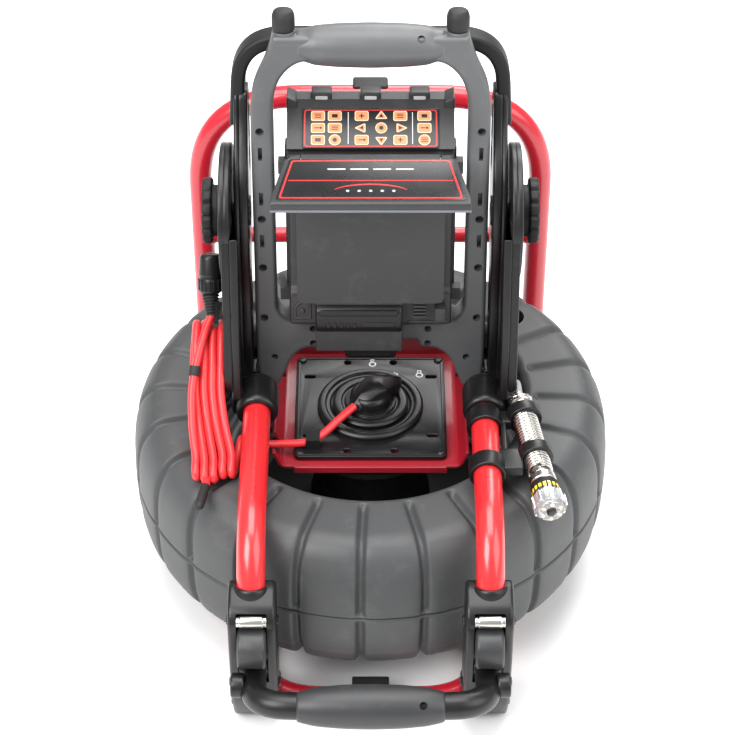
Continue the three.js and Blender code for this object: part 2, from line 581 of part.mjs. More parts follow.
function cameraParts() {
  const spring = [[0, 0]];
  spring.push([5, 0], [9, 8]);
  for (let i = 0; i < 11; i += 1) {
    const t = 10 + i * 8.2;
    spring.push([9.6, t], [11.2, t + 1.4], [11.2, t + 6], [9.6, t + 7.4]);
  }
  spring.push([9.6, 101], [0, 101]);
  addPart("camera_spring", latheAlong(spring, SPRING_A, SPRING_B, 12), COLOURS.steel, 0.9, 0.3);
  addPart("camera_body", latheAlong([
    [0, 101.3], [12.5, 101.3], [12.5, 139.7], [8.2, 139.7], [8.2, 130], [0, 130],
  ], SPRING_A, SPRING_B, 24), COLOURS.steel, 0.9, 0.25);
  addPart("camera_led_ring", latheAlong([
    [5, 140], [12.3, 140], [12.3, 144], [11, 146], [5, 146],
  ], SPRING_A, SPRING_B, 20), COLOURS.clear, 0, 0.3);
  addPart("camera_window", latheAlong([
    [0, 130.3], [7.9, 130.3], [7.9, 139], [4.3, 139.7], [4.3, 147], [0, 147],
  ], SPRING_A, SPRING_B, 24), COLOURS.glass, 0, 0.08);
  addPart("camera_guide_ring", latheAlong([
    [13.1, 128], [15.5, 129], [15.5, 141], [13.1, 142],
  ], SPRING_A, SPRING_B, 28), COLOURS.clear, 0, 0.2);
}

function cameraHolder() {
  let holder = null;
  const clampAt = [-67, -129];
  const ringAt = [0.155, 0.5];
  const direction = new THREE.Vector3(...SPRING_B).sub(new THREE.Vector3(...SPRING_A)).normalize();
  for (let i = 0; i < 2; i += 1) {
    const y = clampAt[i];
    const clamp = cylinder(TUBE_R + 4, [TUBE_X, y - 9, TUBE_H], [TUBE_X, y + 9, TUBE_H], 20);
    const centre = new THREE.Vector3(...alongCamera(ringAt[i]));
    const from = centre.clone().addScaledVector(direction, -6).toArray();
    const to = centre.clone().addScaledVector(direction, 6).toArray();
    const ring = cylinder(16, from, to, 20);
    const link = box(TUBE_X + 8, centre.x - 8, Math.min(y, centre.y) - 5, Math.max(y, centre.y) + 5, 90, 101);
    const piece = clamp.add(ring).add(link);
    holder = holder ? holder.add(piece) : piece;
  }
  holder = holder.add(box(TUBE_X + 14, TUBE_X + 19, -129, -67, 91, 100));
  const tubeBore = cylinder(TUBE_R + GAP, [TUBE_X, -200, TUBE_H], [TUBE_X, 0, TUBE_H], 20);
  const springBore = cylinder(11.5, alongCamera(-0.2), alongCamera(1.1), 20);
  addPart("camera_holder", holder.subtract(tubeBore).subtract(springBore), COLOURS.rubber, 0, 0.5);
}

const PUSH_PATH = [
  [124, 66, -1.5], [129, 50, 14], [132, 32, 40], [135, 10, 72], [136, -10, 93], [136.4, -26, 98.4],
  [136.9, -37.4, 98.9],
];
const CABLE_PATH = [
  [-15.2, -20.2, 74], [-29, -33.5, 70], [-42, -45.5, 64.5], [-53.5, -54, 61.8], [-67, -58.5, 62.4], [-80, -61.5, 64.6],
  [-94, -65, 67.5],
  [-108, -68, 74], [-117, -73, 82], [-119.3, -82, 83.4],
];

function cables() {
  addPart("push_cable_lead", tube(PUSH_PATH, PUSH_R, 24, 8), COLOURS.push, 0, 0.5);
  addPart("system_cable", tube(CABLE_PATH, CABLE_R, 32, 8), COLOURS.cable, 0, 0.4);
  const strand = slabX([
    [4, 162], [-6, 166], [-20, 162], [-50, 130], [-92, 96], [-128, 84], [-138, 79.5], [-90, 79.2], [-64, 96],
    [-34, 124], [-4, 148],
  ], -158, -132.2);
  const round = slabX([
    [4, 162], [-6, 166], [-20, 162], [-92, 96], [-130, 90], [-130, 79.3], [-90, 79.3], [-4, 146],
  ], -132.3, -124);
  const trim = box(-140, -100, -70, 30, 40, 200);
  addPart("cable_hank", strand.add(round.subtract(trim)), COLOURS.cable, 0, 0.4);
  const plugAt = [-146, 22, 222];
  const plugTo = [-146, 6, 190];
  addPart("connector_plug", cylinder(11, plugTo, plugAt, 28, 9.5), COLOURS.black, 0, 0.35);
  const bootEnd = [-145, -5.5, 172.6];
  addPart("connector_boot", cylinder(5.4, bootEnd, [-146, 5.2, 188.6], 20, 8.2), COLOURS.black, 0, 0.5);
  const hook = box(-141, -131.3, -16, -8, 176, 186).add(box(-141, -137, -40, -8, 186, 190))
    .add(box(-141, -131.3, -16, -8, 184, 190));
  addPart("cable_hook", hook, COLOURS.black, 0, 0.5);
  const clipBody = box(-60, -47, -61, -47, 57.3, 67.5).subtract(tube(CABLE_PATH, CABLE_R + GAP, 32, 8));
  addPart("cable_clip", clipBody, COLOURS.black, 0, 0.5);
  addPart("cable_end_cap", cylinder(4.6, [-148, -139, 84], [-153, -168, 84], 20), COLOURS.rubber, 0, 0.5);
}

drumShells();
drumHub();
axle();
baseLoop();
pads();
frontTubes();
hubBracket();
sideArms();
pivotKnobs();
dockArms();
monitorFrame();
monitorBody();
hoodParts();
keypad();
carryHandle();
cameraParts();
cameraHolder();
cables();

export default group;
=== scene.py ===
from math import cos, degrees, hypot, pi, radians, sin
import bmesh
import bpy
from mathutils import Matrix, Vector


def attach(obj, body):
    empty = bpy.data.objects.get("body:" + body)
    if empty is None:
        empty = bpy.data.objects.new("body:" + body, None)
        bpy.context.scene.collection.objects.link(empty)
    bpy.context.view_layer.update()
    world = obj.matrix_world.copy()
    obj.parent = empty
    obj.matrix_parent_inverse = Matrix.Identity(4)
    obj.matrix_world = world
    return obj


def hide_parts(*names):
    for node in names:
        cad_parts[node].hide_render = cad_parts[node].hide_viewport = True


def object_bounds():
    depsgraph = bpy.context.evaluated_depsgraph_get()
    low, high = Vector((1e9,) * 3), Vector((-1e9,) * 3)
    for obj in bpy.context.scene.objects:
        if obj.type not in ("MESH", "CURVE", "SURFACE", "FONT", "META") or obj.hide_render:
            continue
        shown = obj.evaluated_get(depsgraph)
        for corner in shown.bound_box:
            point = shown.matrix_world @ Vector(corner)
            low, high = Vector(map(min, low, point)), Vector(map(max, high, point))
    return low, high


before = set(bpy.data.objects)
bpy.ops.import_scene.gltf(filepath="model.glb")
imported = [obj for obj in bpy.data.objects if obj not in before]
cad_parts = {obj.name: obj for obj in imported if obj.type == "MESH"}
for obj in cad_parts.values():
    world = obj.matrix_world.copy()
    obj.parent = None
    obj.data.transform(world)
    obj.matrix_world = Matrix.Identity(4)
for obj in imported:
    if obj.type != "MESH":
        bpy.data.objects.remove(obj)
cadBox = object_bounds()
print("frame loaded", cadBox)

mm = 0.001
drumY = 53.5
midZ = 110
leanAngle = 9
# reelPlace: millimetres from the drum's middle; leanPlace: the docked screen's own upright frame
reelPlace = Matrix.Scale(mm, 4) @ Matrix.Translation((0, drumY, midZ))
leanPlace = reelPlace @ Matrix.Translation((0, 19, 80)) @ Matrix.Rotation(radians(-leanAngle), 4, "X")


def reelPoint(x, y, z):
    return reelPlace @ Vector((x, y, z))


# ---------- camera ----------
viewSettings = {"rise": 40.65, "distance": 2324, "lift": 79.3, "side": -2.8, "fov": 17.3}


def makeCamera(s):
    rise = radians(s["rise"])
    away = Vector((0, cos(rise), -sin(rise)))
    up = Vector((0, sin(rise), cos(rise)))
    spot = -away * s["distance"] + up * s["lift"] + Vector((s["side"], 0, 0))
    data = bpy.data.cameras.new("camera")
    data.sensor_width = 36
    data.angle = radians(s["fov"])
    data.clip_end = 50
    camera = bpy.data.objects.new("camera", data)
    camera.matrix_world = Matrix.Translation(reelPlace @ spot) @ Matrix.Rotation(pi / 2 - rise, 4, "X")
    bpy.context.collection.objects.link(camera)
    bpy.context.scene.camera = camera


makeCamera(viewSettings)


# ---------- shader helpers ----------
class Sock:
    def __init__(self, maker, socket):
        self.maker = maker
        self.socket = socket

    def maths(self, operation, first, second=None):
        values = {0: first} if second is None else {0: first, 1: second}
        return self.maker.node("ShaderNodeMath", {"operation": operation}, values)[0]

    def __add__(self, other):
        return self.maths("ADD", self, other)

    def __radd__(self, other):
        return self.maths("ADD", other, self)

    def __sub__(self, other):
        return self.maths("SUBTRACT", self, other)

    def __rsub__(self, other):
        return self.maths("SUBTRACT", other, self)

    def __mul__(self, other):
        return self.maths("MULTIPLY", self, other)

    def __rmul__(self, other):
        return self.maths("MULTIPLY", other, self)

    def __pow__(self, other):
        return self.maths("POWER", self, other)

    def clamp(self):
        return self.maker.node("ShaderNodeClamp", {}, {0: self})[0]


class Paint:
    def __init__(self, name):
        self.material = bpy.data.materials.new(name)
        self.material.use_nodes = True
        self.tree = self.material.node_tree
        self.shader = self.tree.nodes["Principled BSDF"]
        self.where = self.node("ShaderNodeTexCoord", {}, {})["Object"]

    def node(self, kind, settings, values):
        made = self.tree.nodes.new(kind)
        for key, value in settings.items():
            if key == "stops":
                ramp = made.color_ramp
                for i, (place, colour) in enumerate(value):
                    stop = ramp.elements[i] if i < 2 else ramp.elements.new(place)
                    stop.position = place
                    stop.color = colour
            else:
                setattr(made, key, value)
        for key, value in values.items():
            if isinstance(value, Sock):
                self.tree.links.new(value.socket, made.inputs[key])
            else:
                made.inputs[key].default_value = value
        self.last = made
        outs = {}
        for i, out in enumerate(made.outputs):
            outs[i] = Sock(self, out)
            outs[out.name] = outs[i]
        return outs

    def noise(self, scale, detail=3, rough=0.5):
        return self.node("ShaderNodeTexNoise", {}, {
            "Vector": self.where, "Scale": scale, "Detail": detail, "Roughness": rough})[0]

    def mix(self, amount, first, second):
        settings = {"data_type": "RGBA"}
        return self.node("ShaderNodeMix", settings, {0: amount, 6: first, 7: second})[2]

    def ramp(self, value, low, high):
        stops = [(low, (0, 0, 0, 1)), (high, (1, 1, 1, 1))]
        return self.node("ShaderNodeValToRGB", {"stops": stops}, {0: value})[0]

    def put(self, name, value):
        if isinstance(value, Sock):
            self.tree.links.new(value.socket, self.shader.inputs[name])
        else:
            self.shader.inputs[name].default_value = value

    def bump(self, height, strength, distance):
        made = self.node("ShaderNodeBump", {}, {"Height": height, "Strength": strength, "Distance": distance})
        self.put("Normal", made["Normal"])

    def wear(self):
        # bare edges show a little lighter where corners are rubbed
        tip = self.node("ShaderNodeNewGeometry", {}, {})["Pointiness"]
        return self.ramp(tip, 0.52, 0.6)


def rgb(colour, gain=1.0):
    return (colour[0] * gain, colour[1] * gain, colour[2] * gain, 1)


def mouldedPlastic(name, s):
    p = Paint(name)
    base = rgb(s["colour"])
    cloud = p.noise(s.get("cloud", 14), 4)
    tone = p.mix(cloud, rgb(s["colour"], 0.82), rgb(s["colour"], 1.2))
    dust = p.ramp(p.noise(38, 6, 0.7), 0.55, 0.85)
    tone = p.mix(dust * s.get("dust", 0.12), tone, rgb((0.35, 0.34, 0.32)))
    tone = p.mix(p.wear() * s.get("edge", 0.25), tone, rgb(s["colour"], 2.1))
    p.put("Base Color", tone)
    rough = s["rough"] + (cloud - 0.5) * s.get("roughSpread", 0.14) + dust * 0.08
    p.put("Roughness", rough.clamp())
    grain = p.noise(s.get("grain", 900), 2, 0.6)
    p.bump(grain, s.get("grainDepth", 0.12), 0.0004)
    p.shader.inputs["Specular IOR Level"].default_value = s.get("specular", 0.5)
    p.material.diffuse_color = base
    return p.material


def redEnamel(name, s):
    p = Paint(name)
    cloud = p.noise(9, 3)
    tone = p.mix(cloud, rgb(s["colour"], 0.86), rgb(s["colour"], 1.12))
    scuff = p.ramp(p.noise(120, 8, 0.75), 0.62, 0.75)
    tone = p.mix(scuff * 0.1, tone, rgb((0.4, 0.2, 0.18)))
    p.put("Base Color", tone)
    p.put("Roughness", (s["rough"] + scuff * 0.18 + (cloud - 0.5) * 0.06).clamp())
    p.shader.inputs["Coat Weight"].default_value = s.get("coat", 0.5)
    p.shader.inputs["Coat Roughness"].default_value = 0.12
    p.bump(p.noise(420, 2), 0.05, 0.0005)
    return p.material


def turnedSteel(name, s):
    p = Paint(name)
    streak = p.node("ShaderNodeMapping", {}, {"Vector": p.where, "Scale": (1, 14, 14)})[0]
    lines = p.node("ShaderNodeTexNoise", {}, {"Vector": streak, "Scale": 160, "Detail": 5})[0]
    cloud = p.noise(40, 3)
    p.put("Base Color", p.mix(cloud, rgb(s["colour"], 0.85), rgb(s["colour"], 1.08)))
    p.put("Roughness", (s["rough"] + (lines - 0.5) * 0.16).clamp())
    p.shader.inputs["Metallic"].default_value = 1.0
    p.bump(lines, 0.06, 0.0003)
    return p.material


def rubberSkin(name, s):
    p = Paint(name)
    cloud = p.noise(30, 4)
    p.put("Base Color", p.mix(cloud, rgb(s["colour"], 0.8), rgb(s["colour"], 1.35)))
    p.put("Roughness", (s["rough"] + (cloud - 0.5) * 0.12).clamp())
    p.bump(p.noise(700, 3), 0.2, 0.0004)
    return p.material


def cableJacket(name, s):
    p = Paint(name)
    cloud = p.noise(22, 3)
    soil = p.ramp(p.noise(70, 6, 0.7), 0.58, 0.8)
    tone = p.mix(cloud, rgb(s["colour"], 0.9), rgb(s["colour"], 1.08))
    p.put("Base Color", p.mix(soil * 0.12, tone, rgb((0.2, 0.08, 0.06))))
    p.put("Roughness", (s["rough"] + soil * 0.15).clamp())
    p.bump(p.noise(260, 2), 0.05, 0.0004)
    return p.material


def clearPane(name, s):
    p = Paint(name)
    smear = p.ramp(p.noise(25, 4), 0.5, 0.8)
    p.put("Base Color", p.mix(smear * 0.15, rgb(s["colour"]), rgb(s["colour"], 1.6)))
    p.put("Roughness", (s["rough"] + smear * 0.07).clamp())
    p.shader.inputs["Transmission Weight"].default_value = s.get("through", 0.0)
    p.shader.inputs["IOR"].default_value = 1.49
    p.bump(p.noise(60, 2), 0.01, 0.0004)
    return p.material


def printedInk(name, s):
    p = Paint(name)
    cloud = p.noise(60, 3)
    tone = p.mix(cloud, rgb(s["colour"], 0.9), rgb(s["colour"], 1.1))
    p.put("Base Color", tone)
    p.put("Roughness", (s["rough"] + (cloud - 0.5) * 0.08).clamp())
    # emission here is painted light: the orange and cream key print glows though it is no lamp; the camera lamps share
    # the cream glow
    if s.get("paintedGlow"):
        p.put("Emission Color", tone)
        p.shader.inputs["Emission Strength"].default_value = s["paintedGlow"]
    p.bump(p.noise(500, 2), 0.04, 0.0003)
    return p.material


finish = {
    "drum": mouldedPlastic("drumGrey", {"colour": (0.05, 0.0515, 0.053), "rough": 0.52, "grainDepth": 0.2, "cloud": 6}),
    "black": mouldedPlastic("satinBlack", {"colour": (0.0065, 0.0065, 0.007), "rough": 0.34, "dust": 0.04, "specular": 0.4}),
    "blackMatte": mouldedPlastic("mattBlack", {"colour": (0.006, 0.006, 0.0065), "rough": 0.55, "dust": 0.05, "specular": 0.35}),
    "frame": mouldedPlastic("frameGrey", {"colour": (0.082, 0.085, 0.088), "rough": 0.42, "grainDepth": 0.1}),
    "case": mouldedPlastic("caseGrey", {"colour": (0.026, 0.0265, 0.028), "rough": 0.45}),
    # the lighter side grey is painted highlight, used for the glint ring on the bezel step and the bright strip on the
    # hood's front edge
    "side": mouldedPlastic("paintedHighlightGrey", {"colour": (0.12, 0.13, 0.14), "rough": 0.5}),
    "red": redEnamel("frontRed", {"colour": (0.66, 0.018, 0.022), "rough": 0.3}),
    "deepRed": redEnamel("loopRed", {"colour": (0.5, 0.008, 0.022), "rough": 0.32}),
    "crimson": redEnamel("bracketRed", {"colour": (0.3, 0.006, 0.016), "rough": 0.4, "coat": 0.2}),
    "blackMetal": redEnamel("blackCoat", {"colour": (0.008, 0.008, 0.0085), "rough": 0.42, "coat": 0.1}),
    "steel": turnedSteel("stainless", {"colour": (0.62, 0.6, 0.56), "rough": 0.24}),
    "springSteel": turnedSteel("springWire", {"colour": (0.66, 0.64, 0.6), "rough": 0.2}),
    "rubber": rubberSkin("rubberBlack", {"colour": (0.008, 0.008, 0.008), "rough": 0.62}),
    "cable": cableJacket("cableRed", {"colour": (0.74, 0.03, 0.035), "rough": 0.36}),
    "push": cableJacket("pushGrey", {"colour": (0.33, 0.34, 0.35), "rough": 0.4}),
    "glass": clearPane("screenGlass", {"colour": (0.006, 0.006, 0.0055), "rough": 0.08}),
    "clear": clearPane("clearRing", {"colour": (0.9, 0.93, 0.95), "rough": 0.08, "through": 0.85}),
    "board": printedInk("boardGreen", {"colour": (0.015, 0.13, 0.05), "rough": 0.4}),
    "film": printedInk("filmBlack", {"colour": (0.012, 0.012, 0.013), "rough": 0.28}),
    "orange": printedInk("keyOrange", {"colour": (0.8, 0.25, 0.11), "rough": 0.4, "paintedGlow": 0.16}),
    "cream": printedInk("keyCream", {"colour": (0.9, 0.6, 0.42), "rough": 0.4, "paintedGlow": 0.14}),
    "inkRed": printedInk("inkRed", {"colour": (0.62, 0.03, 0.03), "rough": 0.35}),
    "inkWhite": printedInk("inkWhite", {"colour": (0.82, 0.82, 0.8), "rough": 0.4}),
    "silver": printedInk("inkSilver", {"colour": (0.5, 0.5, 0.49), "rough": 0.25}),
    "yellow": printedInk("bandYellow", {"colour": (0.8, 0.62, 0.04), "rough": 0.35}),
}
print("finishes made", len(finish))


# ---------- piece helpers ----------
def settle(mesh, sharp):
    mesh.shade_smooth()
    mesh.set_sharp_from_angle(angle=radians(sharp))


def piece(name, mesh, material, body, nodes=(), place=reelPlace, sharp=34):
    mesh.transform(place)
    if place.determinant() < 0:
        mesh.flip_normals()
    mesh.update()
    settle(mesh, sharp)
    for slotMaterial in (material if isinstance(material, (list, tuple)) else [material]):
        mesh.materials.append(finish[slotMaterial])
    made = bpy.data.objects.new(name, mesh)
    bpy.context.collection.objects.link(made)
    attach(made, body)
    if nodes:
        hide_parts(*nodes)
    return made


def fromBm(bm, name="part"):
    bmesh.ops.recalc_face_normals(bm, faces=bm.faces)
    mesh = bpy.data.meshes.new(name)
    bm.to_mesh(mesh)
    bm.free()
    return mesh


def joinMeshes(meshes, slots=None):
    bm = bmesh.new()
    for i, mesh in enumerate(meshes):
        first = len(bm.faces)
        bm.from_mesh(mesh)
        bm.faces.ensure_lookup_table()
        for face in bm.faces[first:]:
            face.material_index = slots[i] if slots else 0
    mesh = bpy.data.meshes.new("joined")
    bm.to_mesh(mesh)
    bm.free()
    return mesh


def mirrored(mesh):
    copy = mesh.copy()
    copy.transform(Matrix.Scale(-1, 4, (1, 0, 0)))
    copy.flip_normals()
    return copy


def asMesh(data):
    temp = bpy.data.objects.new("temp", data)
    bpy.context.collection.objects.link(temp)
    graph = bpy.context.evaluated_depsgraph_get()
    mesh = bpy.data.meshes.new_from_object(temp.evaluated_get(graph), depsgraph=graph)
    bpy.data.objects.remove(temp)
    return mesh


def roundOff(points, radius, steps=5):
    # replaces each corner with a quadratic arc; radius is one number or one per corner
    out = []
    count = len(points)
    for i, (x, y) in enumerate(points):
        r = radius[i] if isinstance(radius, (list, tuple)) else radius
        before, after = Vector(points[i - 1]), Vector(points[(i + 1) % count])
        here = Vector((x, y))
        a, b = before - here, after - here
        reach = min(r, a.length * 0.48, b.length * 0.48)
        if reach < 0.05:
            out.append((x, y))
            continue
        start, end = here + a.normalized() * reach, here + b.normalized() * reach
        for k in range(steps + 1):
            t = k / steps
            spot = start * (1 - t) ** 2 + here * 2 * t * (1 - t) + end * t * t
            out.append((spot.x, spot.y))
    return out


def circle(x, y, r, count=28):
    return [(x + r * cos(2 * pi * k / count), y + r * sin(2 * pi * k / count)) for k in range(count)]


def boxLine(x0, x1, y0, y1, r=1.0):
    return roundOff([(x0, y0), (x1, y0), (x1, y1), (x0, y1)], r)


def area(loop):
    return sum(loop[i - 1][0] * p[1] - p[0] * loop[i - 1][1] for i, p in enumerate(loop))


axes = {
    "X": Matrix(((0, 0, 1, 0), (1, 0, 0, 0), (0, 1, 0, 0), (0, 0, 0, 1))),
    "Y": Matrix(((1, 0, 0, 0), (0, 0, -1, 0), (0, 1, 0, 0), (0, 0, 0, 1))),
    "Z": Matrix.Identity(4),
}


def slab(outline, low, high, edge=1.0, holes=(), axis="Y", segments=3):
    # an outline pushed out along an axis, with every edge rounded; axis X takes (y, z), Y takes (x, z), Z takes (x, y)
    data = bpy.data.curves.new("slab", "CURVE")
    data.dimensions = "2D"
    data.fill_mode = "BOTH"
    edge = min(edge, (high - low) / 2 - 0.02)
    data.extrude = (high - low) / 2 - edge
    data.bevel_depth = edge
    data.bevel_resolution = segments
    data.offset = -edge
    for i, loop in enumerate([outline, *holes]):
        if (area(loop) > 0) != (i == 0):
            loop = list(reversed(loop))
        spline = data.splines.new("POLY")
        spline.points.add(len(loop) - 1)
        for point, (x, y) in zip(spline.points, loop):
            point.co = (x, y, 0, 1)
        spline.use_cyclic_u = True
    mesh = asMesh(data)
    middle = (low + high) / 2
    mesh.transform(Matrix.Translation((0, 0, middle if axis != "Y" else -middle)))
    mesh.transform(axes[axis])
    bm = bmesh.new()
    bm.from_mesh(mesh)
    bmesh.ops.remove_doubles(bm, verts=bm.verts, dist=0.01)
    return fromBm(bm)


def block(x0, x1, y0, y1, z0, z1, edge=1.0, corner=None):
    return slab(boxLine(x0, x1, y0, y1, corner if corner is not None else edge), z0, z1, edge, axis="Z")


def turned(profile, start, end, count=64, fillet=0.8):
    # profile is (radius, distance along the axis) from start; it closes on itself or on the axis
    soft = roundOff(profile, fillet, 3) if fillet else profile
    origin = Vector(start)
    axis = (Vector(end) - origin).normalized()
    side = axis.orthogonal().normalized()
    other = axis.cross(side)
    bm = bmesh.new()
    rings = []
    for r, t in soft:
        if r < 0.02:
            rings.append([bm.verts.new(origin + axis * t)])
            continue
        rings.append([bm.verts.new(origin + axis * t + (side * cos(a) + other * sin(a)) * r)
                      for a in (2 * pi * k / count for k in range(count))])
    for i in range(len(rings)):
        one, two = rings[i - 1], rings[i]
        if len(one) == 1 and len(two) == 1:
            continue
        for k in range(count):
            n = (k + 1) % count
            corners = [one[k % len(one)], one[n % len(one)], two[n % len(two)], two[k % len(two)]]
            unique = list(dict.fromkeys(corners))
            if len(unique) > 2:
                bm.faces.new(unique)
    bmesh.ops.remove_doubles(bm, verts=bm.verts, dist=0.001)
    return fromBm(bm)


def bendPath(points, reaches, steps=14):
    p = [Vector(q) for q in points]
    out = [p[0]]
    for i in range(1, len(p) - 1):
        reach = reaches[i - 1]
        start = p[i] + (p[i - 1] - p[i]).normalized() * reach
        end = p[i] + (p[i + 1] - p[i]).normalized() * reach
        for k in range(steps + 1):
            t = k / steps
            out.append(start * (1 - t) ** 2 + p[i] * 2 * t * (1 - t) + end * t * t)
    out.append(p[-1])
    return out


def smoothPath(points, steps=8):
    p = [Vector(q) for q in points]
    p = [p[0] * 2 - p[1], *p, p[-1] * 2 - p[-2]]
    out = []
    for i in range(1, len(p) - 2):
        a, b, c, d = p[i - 1], p[i], p[i + 1], p[i + 2]
        for k in range(steps):
            t = k / steps
            out.append(0.5 * (b * 2 + (c - a) * t + (a * 2 - b * 5 + c * 4 - d) * t * t
                              + (b * 3 - a - c * 3 + d) * t ** 3))
    out.append(p[-2])
    return out


def pipe(path, radius, count=24, radii=None, flat=1.0):
    # a tube with closed, flat ends; radii may vary along the path
    bm = bmesh.new()
    rings = []
    normal = None
    total = len(path)
    for i, centre in enumerate(path):
        tangent = (path[min(i + 1, total - 1)] - path[max(i - 1, 0)]).normalized()
        normal = tangent.orthogonal() if normal is None else normal - tangent * normal.dot(tangent)
        normal.normalize()
        other = tangent.cross(normal)
        r = radii[i] if radii else radius
        rings.append([bm.verts.new(centre + normal * cos(a) * r + other * sin(a) * r * flat)
                      for a in (2 * pi * k / count for k in range(count))])
    for one, two in zip(rings, rings[1:]):
        for k in range(count):
            n = (k + 1) % count
            bm.faces.new((one[k], one[n], two[n], two[k]))
    bm.faces.new(list(reversed(rings[0])))
    bm.faces.new(rings[-1])
    return fromBm(bm)


def cut(mesh, *cutters):
    for cutter in cutters:
        target = bpy.data.objects.new("target", mesh)
        tool = bpy.data.objects.new("tool", cutter)
        for each in (target, tool):
            bpy.context.collection.objects.link(each)
        modifier = target.modifiers.new("cut", "BOOLEAN")
        modifier.operation = "DIFFERENCE"
        modifier.solver = "EXACT"
        modifier.object = tool
        graph = bpy.context.evaluated_depsgraph_get()
        mesh = bpy.data.meshes.new_from_object(target.evaluated_get(graph), depsgraph=graph)
        for each in (target, tool):
            bpy.data.objects.remove(each)
    return mesh


def softCad(node, material, width=0.6, sharp=30):
    # a CAD piece that only needs rounded edges and its finish
    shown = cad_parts[node]
    bevel = shown.modifiers.new("edge", "BEVEL")
    bevel.width = width * mm
    bevel.segments = 2
    bevel.limit_method = "ANGLE"
    bevel.angle_limit = radians(28)
    shown.data.materials.clear()
    shown.data.materials.append(finish[material])
    settle(shown.data, sharp)
    return shown


# ---------- cords ----------
cableSettings = {"radius": 3.75, "turns": 4}
# the system cable's route, as in the part's source
cableRoute = [
    (-15.2, -20.2, 74), (-29, -33.5, 70), (-42, -45.5, 64.5), (-53.5, -54, 61.8), (-67, -58.5, 62.4),
    (-80, -61.5, 64.6), (-94, -65, 67.5),
    (-108, -68, 74), (-117, -73, 82), (-119.3, -82, 83.4),
]
pushRoute = [
    (124, 66, -1.5), (129, 50, 14), (132, 32, 40), (135, 10, 72), (136, -10, 93), (136.4, -26, 98.4),
    (136.9, -37.4, 98.9),
]


def hankRoute(s):
    # loops fold under on the drum, climb in the upper layer and drop behind it, one beside the next
    points = [(-120.4, -93, 81)]
    for turn in range(s["turns"] + 1):
        top, low = -136.6 - turn * 7.6, -126 - turn * 8
        deep = -124 - (0, 1, 6, 7, 3)[turn]
        points += [
            (low + 3.4, deep + 18, 80.4), (low + 2, deep + 4, 81.2), (low + 1, deep, 85.4),
            (low + 0.4, deep + 5, 90), (low, deep + 18, 93.5),
        ]
        if turn == s["turns"]:
            break
        points += [
            (top * 0.6 + low * 0.4, -80, 104), (top, -56, 123), (top, -36, 141), (top, -18, 156),
            (top, -7, 159.5), (top - 0.6, 1.5, 156.5), (top - 1.4, 3, 150), (top - 2, -3, 145),
            (top - 2.8, -18, 136), (top - 3.4, -40, 119), (top - 3.8, -64, 99),
            (top * 0.4 + low * 0.6 - 4.4, -86, 83.5),
        ]
    return points


def cordCurve(name, points, radius, material):
    data = bpy.data.curves.new(name, "CURVE")
    data.dimensions = "3D"
    data.bevel_depth = radius * mm
    data.bevel_resolution = 4
    data.use_fill_caps = True
    spline = data.splines.new("POLY")
    spline.points.add(len(points) - 1)
    for point, spot in zip(spline.points, points):
        point.co = (*reelPoint(*spot), 1)
    data.materials.append(finish[material])
    made = bpy.data.objects.new(name, data)
    bpy.context.collection.objects.link(made)
    return made


def pathLength(points):
    return sum((b - a).length for a, b in zip(points, points[1:])) * mm


endRise = [
    (-161.4, -86, 108), (-162, -60, 130), (-157, -38, 150), (-150.8, -20, 164.4), (-147, -10.5, 170.4),
    (-145, -5.5, 173.5),
]
cablePath = smoothPath(cableRoute + hankRoute(cableSettings) + endRise, 5)
systemCable = cordCurve("system_cable_run", cablePath, cableSettings["radius"], "cable")
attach(systemCable, "reel_frame")
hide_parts("system_cable", "cable_hank")
print("system cable", round(pathLength(cablePath), 3))
pushPath = smoothPath(pushRoute, 8)
pushLead = cordCurve("push_cable_run", pushPath, 4.2, "push")
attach(pushLead, "reel_frame")
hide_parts("push_cable_lead")
print("push lead", round(pathLength(pushPath), 3))


# ---------- drum ----------
drumSettings = {
    "grooves": 24, "firstAngle": -92.4, "depth": 5.2, "slotHalf": 3.2, "slotSoft": 2.6, "pillow": 0.7,
    "pillowReach": 11, "rowStep": 2.7, "recess": (136, 110, 14),
    "offsets": (1, 2.1, 3, 3.8, 4.6, 5.4, 6.3, 7.4, 9, 11.5, 15, 20, 25),
}


def smoothStep(low, high, value):
    t = min(1, max(0, (value - low) / (high - low)))
    return t * t * (3 - 2 * t)


def resample(path, step):
    out = [path[0]]
    for a, b in zip(path, path[1:]):
        count = max(1, round((b - a).length / step))
        out += [a.lerp(b, k / count) for k in range(1, count + 1)]
    return out


def shellMesh(s, outer, inner, slotLow, slotHigh, side=1):
    # the outer skin carries the grooves, which are slots with round ends; the inner skin is plain
    period = 360 / s["grooves"]
    across = sorted([-o for o in s["offsets"]] + [0] + list(s["offsets"]))
    columns = []
    for k in range(s["grooves"]):
        columns += [(s["firstAngle"] + k * period + degrees(o / 225), o / 225) for o in across]
    lengths = [0]
    for a, b in zip(outer, outer[1:]):
        lengths.append(lengths[-1] + (b - a).length)
    bm = bmesh.new()
    rows = []
    for i, spot in enumerate(outer):
        run = outer[min(i + 1, len(outer) - 1)] - outer[max(i - 1, 0)]
        normal = Vector((run.z, 0, -run.x)).normalized() * side
        row = []
        for angle, off in columns:
            along = max(0, slotLow - lengths[i], lengths[i] - slotHigh)
            away = hypot(off * spot.x, along)
            sink = s["depth"] * (1 - smoothStep(s["slotHalf"] - s["slotSoft"], s["slotHalf"] + s["slotSoft"], away))
            sink += s["pillow"] * (1 - smoothStep(s["slotHalf"], s["pillowReach"], away))
            r, h = spot.x - normal.x * sink, spot.z - normal.z * sink
            row.append(bm.verts.new((r * cos(radians(angle)), r * sin(radians(angle)), h)))
        rows.append(row)
    for r, h in inner:
        rows.append([bm.verts.new((r * cos(radians(a)), r * sin(radians(a)), h)) for a, off in columns])
    count = len(columns)
    for one, two in zip(rows, rows[1:] + rows[:1]):
        for k in range(count):
            n = (k + 1) % count
            bm.faces.new((one[k], one[n], two[n], two[k]))
    return fromBm(bm)


